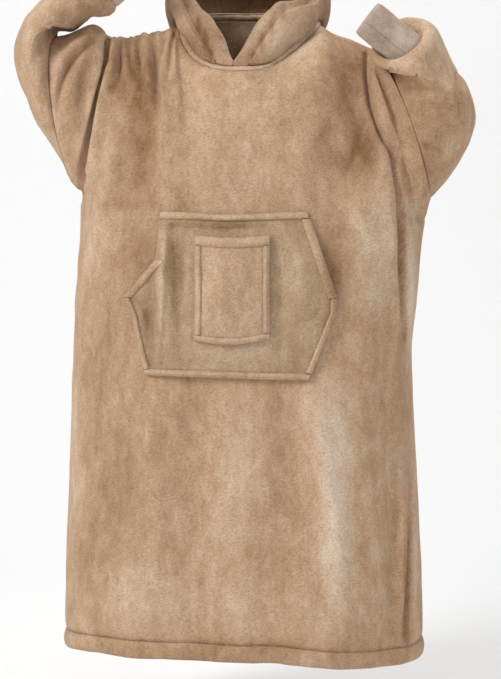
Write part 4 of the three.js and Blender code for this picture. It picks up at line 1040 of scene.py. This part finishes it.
def hood_panel(side, rows, name):
    tbl = table(hood_names, rows)
    angle = np.linspace(rows[0][0], rows[-1][0], HOOD_AROUND)
    knots = [neck_point(angle, -1.5, NECK_LIP_HEIGHT / 2 + SEAM_GAP + 1.2)]
    for knot in ("under", "low", "out", "top", "dip"):
        knots.append(polar(angle, column(tbl, "angle", angle, knot + "R"),
                           column(tbl, "angle", angle, knot + "Z")))
    outer = np.swapaxes(curve(np.array(knots), HOOD_UP, even=True), 0, 1).copy()
    out = normals(outer, False) * (1 if side == "left" else -1)
    i = np.arange(HOOD_AROUND)[:, None]
    j = np.arange(HOOD_UP)[None]
    life = 3.0 * lattice_noise(outer, (40, 40, 46), 61) + 1.0 * lattice_noise(outer, (16, 16, 18), 62)
    outer = outer + out * (life * calm_edges(outer, 14, 6, 10, 8))[..., None]
    seam = HOOD_SEAM * fading(HOOD_AROUND - 1 - i, 3.0) * smooth(j / 6)
    outer[..., 1] -= seam * smooth((HOOD_UP - 1 - j) / 4)
    fixed = np.full(outer.shape, np.nan)
    fixed[:, 0] = inward_from(outer[:, 0])
    fixed[:, -1] = (0, 0, -1)
    wall = np.minimum(HOOD_PLUSH, mix(1.2, HOOD_PLUSH, i / (HOOD_AROUND * 0.2)))[..., None]
    return hood_wall(side, name, outer, wall, fixed)


def face_band(side, rows, name):
    lead = -0.4 if side == "left" else 0.4
    tip = (V_ANGLE + lead,) + (0,) * 8 + (85, -50.5, 84, -48, 81, -46)
    tbl = table(hood_names, [tip] + rows)
    angle = np.linspace(tip[0], rows[-1][0], BAND_AROUND)
    read = {key: column(tbl, "angle", angle, key) for key in tbl}
    knots = [polar(angle, read["dipR"] - SEAM_GAP - 0.8, read["dipZ"]),
             polar(angle, read["bandR"], read["bandZ"]), polar(angle, read["rimR"], read["rimZ"])]
    outer = np.swapaxes(curve(np.array(knots), BAND_UP, even=True), 0, 1).copy()
    out = normals(outer, False) * (1 if side == "left" else -1)
    crown = 1.6 * np.sin(np.pi * np.linspace(0, 1, BAND_UP))
    life = 1.4 * lattice_noise(outer, (24, 24, 24), 71) + crown
    outer = outer + out * (life * calm_edges(outer, 12, 5, 4, 4))[..., None]
    fixed = np.full(outer.shape, np.nan)
    fixed[0] = inward_from(outer[0])
    fixed[:, 0] = (0, 0, -1)
    return hood_wall(side, name, outer, HOOD_PLUSH, fixed, 1.2)


hood_left = hood_panel("left", hood_left_rows, "hood_left_shell")
hood_right = hood_panel("right", hood_right_rows, "hood_right_shell")
band_left = face_band("left", hood_left_rows, "hood_band_left_shell")
band_right = face_band("right", hood_right_rows, "hood_band_right_shell")

# Kangaroo pocket: side edges by height; it stands off the panel like a shallow pouch
pocket_sides = table("z left right", [
    (-488, -136, 92), (-470, -142, 101), (-436, -150, 116), (-400, -158, 131), (-380, -168, 132),
    (-326, -121, 113.5), (-300, -118, 105), (-262, -117, 91)])
POCKET_TUCK = -326.0
POCKET_BOTTOM = -488.0
POCKET_TOP = -262.0
POCKET_HEIGHT = POCKET_TOP - POCKET_BOTTOM
POCKET_CORNER = -380.0
POCKET_LIFT = 1.3
POCKET_PUFF = 17.0
POCKET_WALL = 3.0
POCKET_SAG = 7.0
POCKET_WAVE = 2.0
POCKET_GAPE = 0.75
CORNER_SHARE = (POCKET_CORNER - POCKET_BOTTOM) / POCKET_HEIGHT

pocket_creases = [
    ([(163, 226), (163, 262), (161, 310), (158, 362)], 4.0, -9),
    ([(174, 230), (177, 268), (180, 326)], 6.0, 10),
    ([(151, 284), (149, 326), (151, 364)], 5.0, 6),
    ([(182, 350), (186, 362), (200, 368)], 5.0, 3),
    ([(276, 240), (280, 300), (278, 352)], 5.0, 4),
    ([(296, 250), (304, 290), (300, 340)], 9.0, -4),
    ([(275, 345), (290, 352), (303, 366)], 5.0, 3),
    ([(176, 227), (215, 231), (272, 229)], 4.5, 5),
    ([(130, 300), (142, 306), (152, 320)], 4.0, 4),
    ([(322, 306), (312, 318), (300, 324)], 4.0, 4),
    ([(270, 232), (284, 244), (296, 262)], 5.0, 3),
]
phone_creases = [
    ([(202, 262), (208, 288), (216, 318)], 4.0, 3),
    ([(204, 256), (226, 284), (256, 320)], 7.0, -2),
    ([(258, 256), (246, 290), (240, 330)], 5.0, 2),
    ([(222, 262), (222, 300), (224, 330)], 6.0, -2),
]


def front_depth(x, z):
    """Y of the front panel's outer face at places of the lower body."""
    left, right = column(body, "z", z, "left"), column(body, "z", z, "right")
    away = 1 - 2 * (x - left) / (right - left)
    u = np.arccos(np.clip(np.sign(away) * np.abs(away) ** (1 / ROUNDNESS), -1, 1)) / np.pi
    points = lower_point(True, u, z)
    return points[..., 1] + panel_life(True, points, u)


def pocket_y(x, z, u, v):
    """Y of the pocket's outer face at places of the front view."""
    v = np.clip(v, 0, 1)
    upright = np.sin(np.pi * v) ** 0.6
    sewn = np.sin(np.pi * np.clip(u, 0, 1)) ** 0.5
    above = (v - CORNER_SHARE) / (1 - CORNER_SHARE)
    gaping = np.where(above > 0, np.sin(np.pi * np.clip(above, 0, 1)), 0)
    across = np.maximum(sewn, POCKET_GAPE * gaping ** 0.6)
    y = front_depth(x, z) - POCKET_LIFT - POCKET_PUFF * upright * across - POCKET_WALL
    points = np.stack([x, y, z], axis=-1)
    life = crease_depth(*seen(points), pocket_creases)
    life = life + 1.4 * lattice_noise(points, (34, 200, 44), 81)
    calm = smooth(np.minimum(v, 1 - v) / 0.09) * smooth(np.minimum(u, 1 - u) / 0.07)
    return y + life * calm


def pocket_at(u, v):
    """Point of the pocket's outer face; u runs from its left edge, v from its bottom edge."""
    z0 = POCKET_BOTTOM + POCKET_HEIGHT * v
    left = np.interp(z0, pocket_sides["z"], pocket_sides["left"])
    right = np.interp(z0, pocket_sides["z"], pocket_sides["right"])
    x = mix(left, right, u)
    z = z0 - POCKET_SAG * u * (1 - v) ** 3 + POCKET_WAVE * np.cos(2 * np.pi * u) * v ** 6
    return np.stack([x, pocket_y(x, z, u, v), z], axis=-1)


PHONE = dict(left=-67.0, right=38.0, bottom=-443.0, top=-293.0)
PHONE_PUFF = 10.0
PHONE_ROUND = 1.5
PHONE_SAG = 7.0
PHONE_DIP = 3.5


def phone_at(u, v):
    """Point of the phone pocket's outer face."""
    x = mix(PHONE["left"], PHONE["right"], u) + PHONE_ROUND * np.sin(np.pi * v) * (0.5 - u)
    z = mix(PHONE["bottom"], PHONE["top"], v)
    z = z + PHONE_SAG * (2 * np.abs(u - 0.45)) ** 2 * (1 - v) - PHONE_DIP * np.sin(np.pi * u) * v ** 3
    left = np.interp(z, pocket_sides["z"], pocket_sides["left"])
    right = np.interp(z, pocket_sides["z"], pocket_sides["right"])
    base = pocket_y(x, z, (x - left) / (right - left), (z - POCKET_BOTTOM) / POCKET_HEIGHT)
    upright = np.sin(np.pi / 2 * np.clip(1.6 * v, 0, 1)) ** 0.6
    puff = PHONE_PUFF * np.sin(np.pi * np.clip(u, 0, 1)) ** 0.6 * upright
    y = base - POCKET_LIFT - puff - POCKET_WALL
    points = np.stack([x, y, z], axis=-1)
    life = crease_depth(*seen(points), phone_creases) + 0.9 * lattice_noise(points, (22, 90, 26), 91)
    calm = smooth(np.minimum(v, 1 - v) / 0.12) * smooth(np.minimum(u, 1 - u) / 0.12)
    return np.stack([x, y + life * calm, z], axis=-1)


def patch(name, surface, us, vs, material):
    outer = surface(us[None], vs[:, None])
    inner = outer + np.array([0, POCKET_WALL, 0])
    return cloth_wall(name, outer, inner, False, material, 0.8)


fine_u = (1 - np.cos(np.pi * np.linspace(0, 1, 121))) / 2
TUCK_SHARE = (POCKET_TUCK - POCKET_BOTTOM) / POCKET_HEIGHT
pocket_v = np.concatenate([np.linspace(0, CORNER_SHARE, 55), np.linspace(CORNER_SHARE, TUCK_SHARE, 31)[1:],
                           np.linspace(TUCK_SHARE, 1, 31)[1:]])
pocket_piece = patch("kangaroo_pocket_shell", pocket_at, fine_u, pocket_v, shaded_pocket_cloth)
phone_piece = patch("phone_pocket_shell", phone_at, fine_u[::2], np.linspace(0, 1, 90), lit_phone_cloth)

STRIP_LIFT = 0.3
STRIP_EDGE = 0.5
STRIP_INSET = 0.4


def strip(name, surface, upright, edge, start, end, width, size, height, count):
    """Crowned strip width mm wide, on a surface along its upright or level edge 0 or 1."""
    along = np.linspace(start, end, count)
    shares = (1 - np.cos(np.pi * np.linspace(0, 1, 13)))[:, None] / 2
    inside = (1 - 2 * edge) / (size(along) if callable(size) else size)
    off = edge + mix(STRIP_INSET, width, shares) * inside
    along, off = np.broadcast_arrays(along, off)
    inner = surface(off, along) if upright else surface(along, off)
    crown = height * np.clip(np.sin(np.pi * shares), 0, 1) ** 0.75
    lump = 1 + 0.22 * lattice_noise(inner, (8, 60, 8), 101)
    outer = inner.copy()
    outer[..., 1] -= STRIP_LIFT + STRIP_EDGE + crown * lump
    inner[..., 1] -= STRIP_LIFT
    # The strips take the lighter copy of the plush: painted light.
    return cloth_wall(name, outer, inner, False, lit_phone_cloth, tone=0.05)


def pocket_width(v):
    """Width of the large pocket at share v of its height."""
    z0 = POCKET_BOTTOM + POCKET_HEIGHT * v
    return (np.interp(z0, pocket_sides["z"], pocket_sides["right"])
            - np.interp(z0, pocket_sides["z"], pocket_sides["left"]))


# Where strips end beside one another, as shares of the pockets' heights
PHONE_HEIGHT = PHONE["top"] - PHONE["bottom"]
PHONE_WIDTH = PHONE["right"] - PHONE["left"]
HAND_LOW = CORNER_SHARE + 0.001
HAND_TUCK = TUCK_SHARE - 0.008
HAND_HIGH = 1 - 9.7 / POCKET_HEIGHT
WELT_LOW = 9.2 / POCKET_HEIGHT
WELT_HIGH = CORNER_SHARE - 0.001
PHONE_LOW = 9.1 / PHONE_HEIGHT
PHONE_HIGH = 1 - 14.1 / PHONE_HEIGHT
# Object, node, surface, upright, edge, from, to, width, surface's own size across the strip, height,
# points along, cut in metres
strips = [
    ("pocket_top_strip", "pocket_top_binding", pocket_at, False, 1, 0.006, 0.994, 9.5, POCKET_HEIGHT,
     4.6, 150, (0.20, 0.012)),
    ("hand_strip_left", "hand_binding_left", pocket_at, True, 0, HAND_LOW, HAND_TUCK, 13, pocket_width,
     3.6, 90, (0.075, 0.015)),
    ("hand_strip_right", "hand_binding_right", pocket_at, True, 1, HAND_LOW, HAND_HIGH, 13,
     pocket_width, 3.4, 90, (0.11, 0.015)),
    ("pocket_strip_left", "pocket_welt_left", pocket_at, True, 0, WELT_LOW, WELT_HIGH, 9, pocket_width,
     4.6, 90, (0.105, 0.011)),
    ("pocket_strip_right", "pocket_welt_right", pocket_at, True, 1, WELT_LOW, WELT_HIGH, 9,
     pocket_width, 4.6, 90, (0.11, 0.011)),
    ("pocket_strip_low", "pocket_welt_bottom", pocket_at, False, 0, 0.004, 0.996, 9, POCKET_HEIGHT,
     4.6, 150, (0.23, 0.012)),
    ("phone_strip_top", "phone_pocket_hem", phone_at, False, 1, 0.004, 0.996, 14, PHONE_HEIGHT,
     4.0, 80, (0.105, 0.016)),
    ("phone_strip_left", "phone_welt_left", phone_at, True, 0, PHONE_LOW, PHONE_HIGH, 9, PHONE_WIDTH,
     4.4, 90, (0.125, 0.011)),
    ("phone_strip_right", "phone_welt_right", phone_at, True, 1, PHONE_LOW, PHONE_HIGH, 9, PHONE_WIDTH,
     4.4, 90, (0.125, 0.011)),
    ("phone_strip_low", "phone_welt_bottom", phone_at, False, 0, 0.004, 0.996, 9, PHONE_HEIGHT,
     4.4, 80, (0.105, 0.012))]

# What the other pieces stand for; each hides its CAD part and is attached to the root body
dress(front, "front_panel")
dress(back, "back_panel")
dress(hem_piece, "hem_band")
dress(left_sleeve, "sleeve_left")
dress(right_sleeve, "sleeve_right")
dress(left_cuff, "cuff_left")
dress(right_cuff, "cuff_right")
dress(neck_piece, "neck_seam")
dress(hood_left, "hood_left")
dress(hood_right, "hood_right")
dress(band_left, "hood_band_left")
dress(band_right, "hood_band_right")
dress(pocket_piece, "kangaroo_pocket")
dress(phone_piece, "phone_pocket")
for name, node, *sizes, cut in strips:
    dress(strip(name, *sizes), node)


# Plain pale floor and backdrop in one sweep, and soft studio light, in metres
FLOOR = -1.03
FLOOR_FRONT = -4.5
SWEEP_START = 1.2
SWEEP = 1.0
SWEEP_STEPS = 12
WALL_TOP = 4.0
HALF_STAGE = 5.0
STAGE_TONE = 0.90


def add_stage():
    profile = [(FLOOR_FRONT, FLOOR)]
    for turn in np.linspace(0, math.pi / 2, SWEEP_STEPS + 1):
        profile.append((SWEEP_START + SWEEP * math.sin(turn), FLOOR + SWEEP - SWEEP * math.cos(turn)))
    profile.append((SWEEP_START + SWEEP, WALL_TOP))
    points = [(x, y, z) for y, z in profile for x in (-HALF_STAGE, HALF_STAGE)]
    faces = [(2 * k, 2 * k + 1, 2 * k + 3, 2 * k + 2) for k in range(len(profile) - 1)]
    mesh = bpy.data.meshes.new("backdrop")
    mesh.from_pydata(points, [], faces)
    mesh.polygons.foreach_set("use_smooth", np.ones(len(mesh.polygons), dtype=bool))
    obj = bpy.data.objects.new("backdrop", mesh)
    bpy.context.scene.collection.objects.link(obj)
    material, _, shader = nodes_of("backdrop_white")
    fill(shader, {"Base Color": (STAGE_TONE, STAGE_TONE, STAGE_TONE, 1), "Roughness": 1.0,
                  "Specular IOR Level": 0.0})
    mesh.materials.append(material)


LIGHT_AIM = (0, 0, -0.4)


def add_light(name, place, size, power):
    data = bpy.data.lights.new(name, "AREA")
    data.shape = "DISK"
    data.size = size
    data.energy = power
    light = bpy.data.objects.new(name, data)
    light.location = place
    light.rotation_euler = (Vector(LIGHT_AIM) - Vector(place)).to_track_quat("-Z", "Y").to_euler()
    bpy.context.scene.collection.objects.link(light)


add_stage()
add_light("key", (-2.2, -2.2, 1.6), 1.2, 78)
add_light("fill", (2.6, -2.0, 0.6), 2.0, 14)
add_light("top", (0.3, 0.4, 2.6), 1.6, 34)
world = bpy.data.worlds.new("studio")
world.use_nodes = True
fill(world.node_tree.nodes["Background"], {"Color": (1, 1, 1, 1), "Strength": 0.50})
bpy.context.scene.world = world
bpy.context.scene.view_settings.view_transform = "Standard"
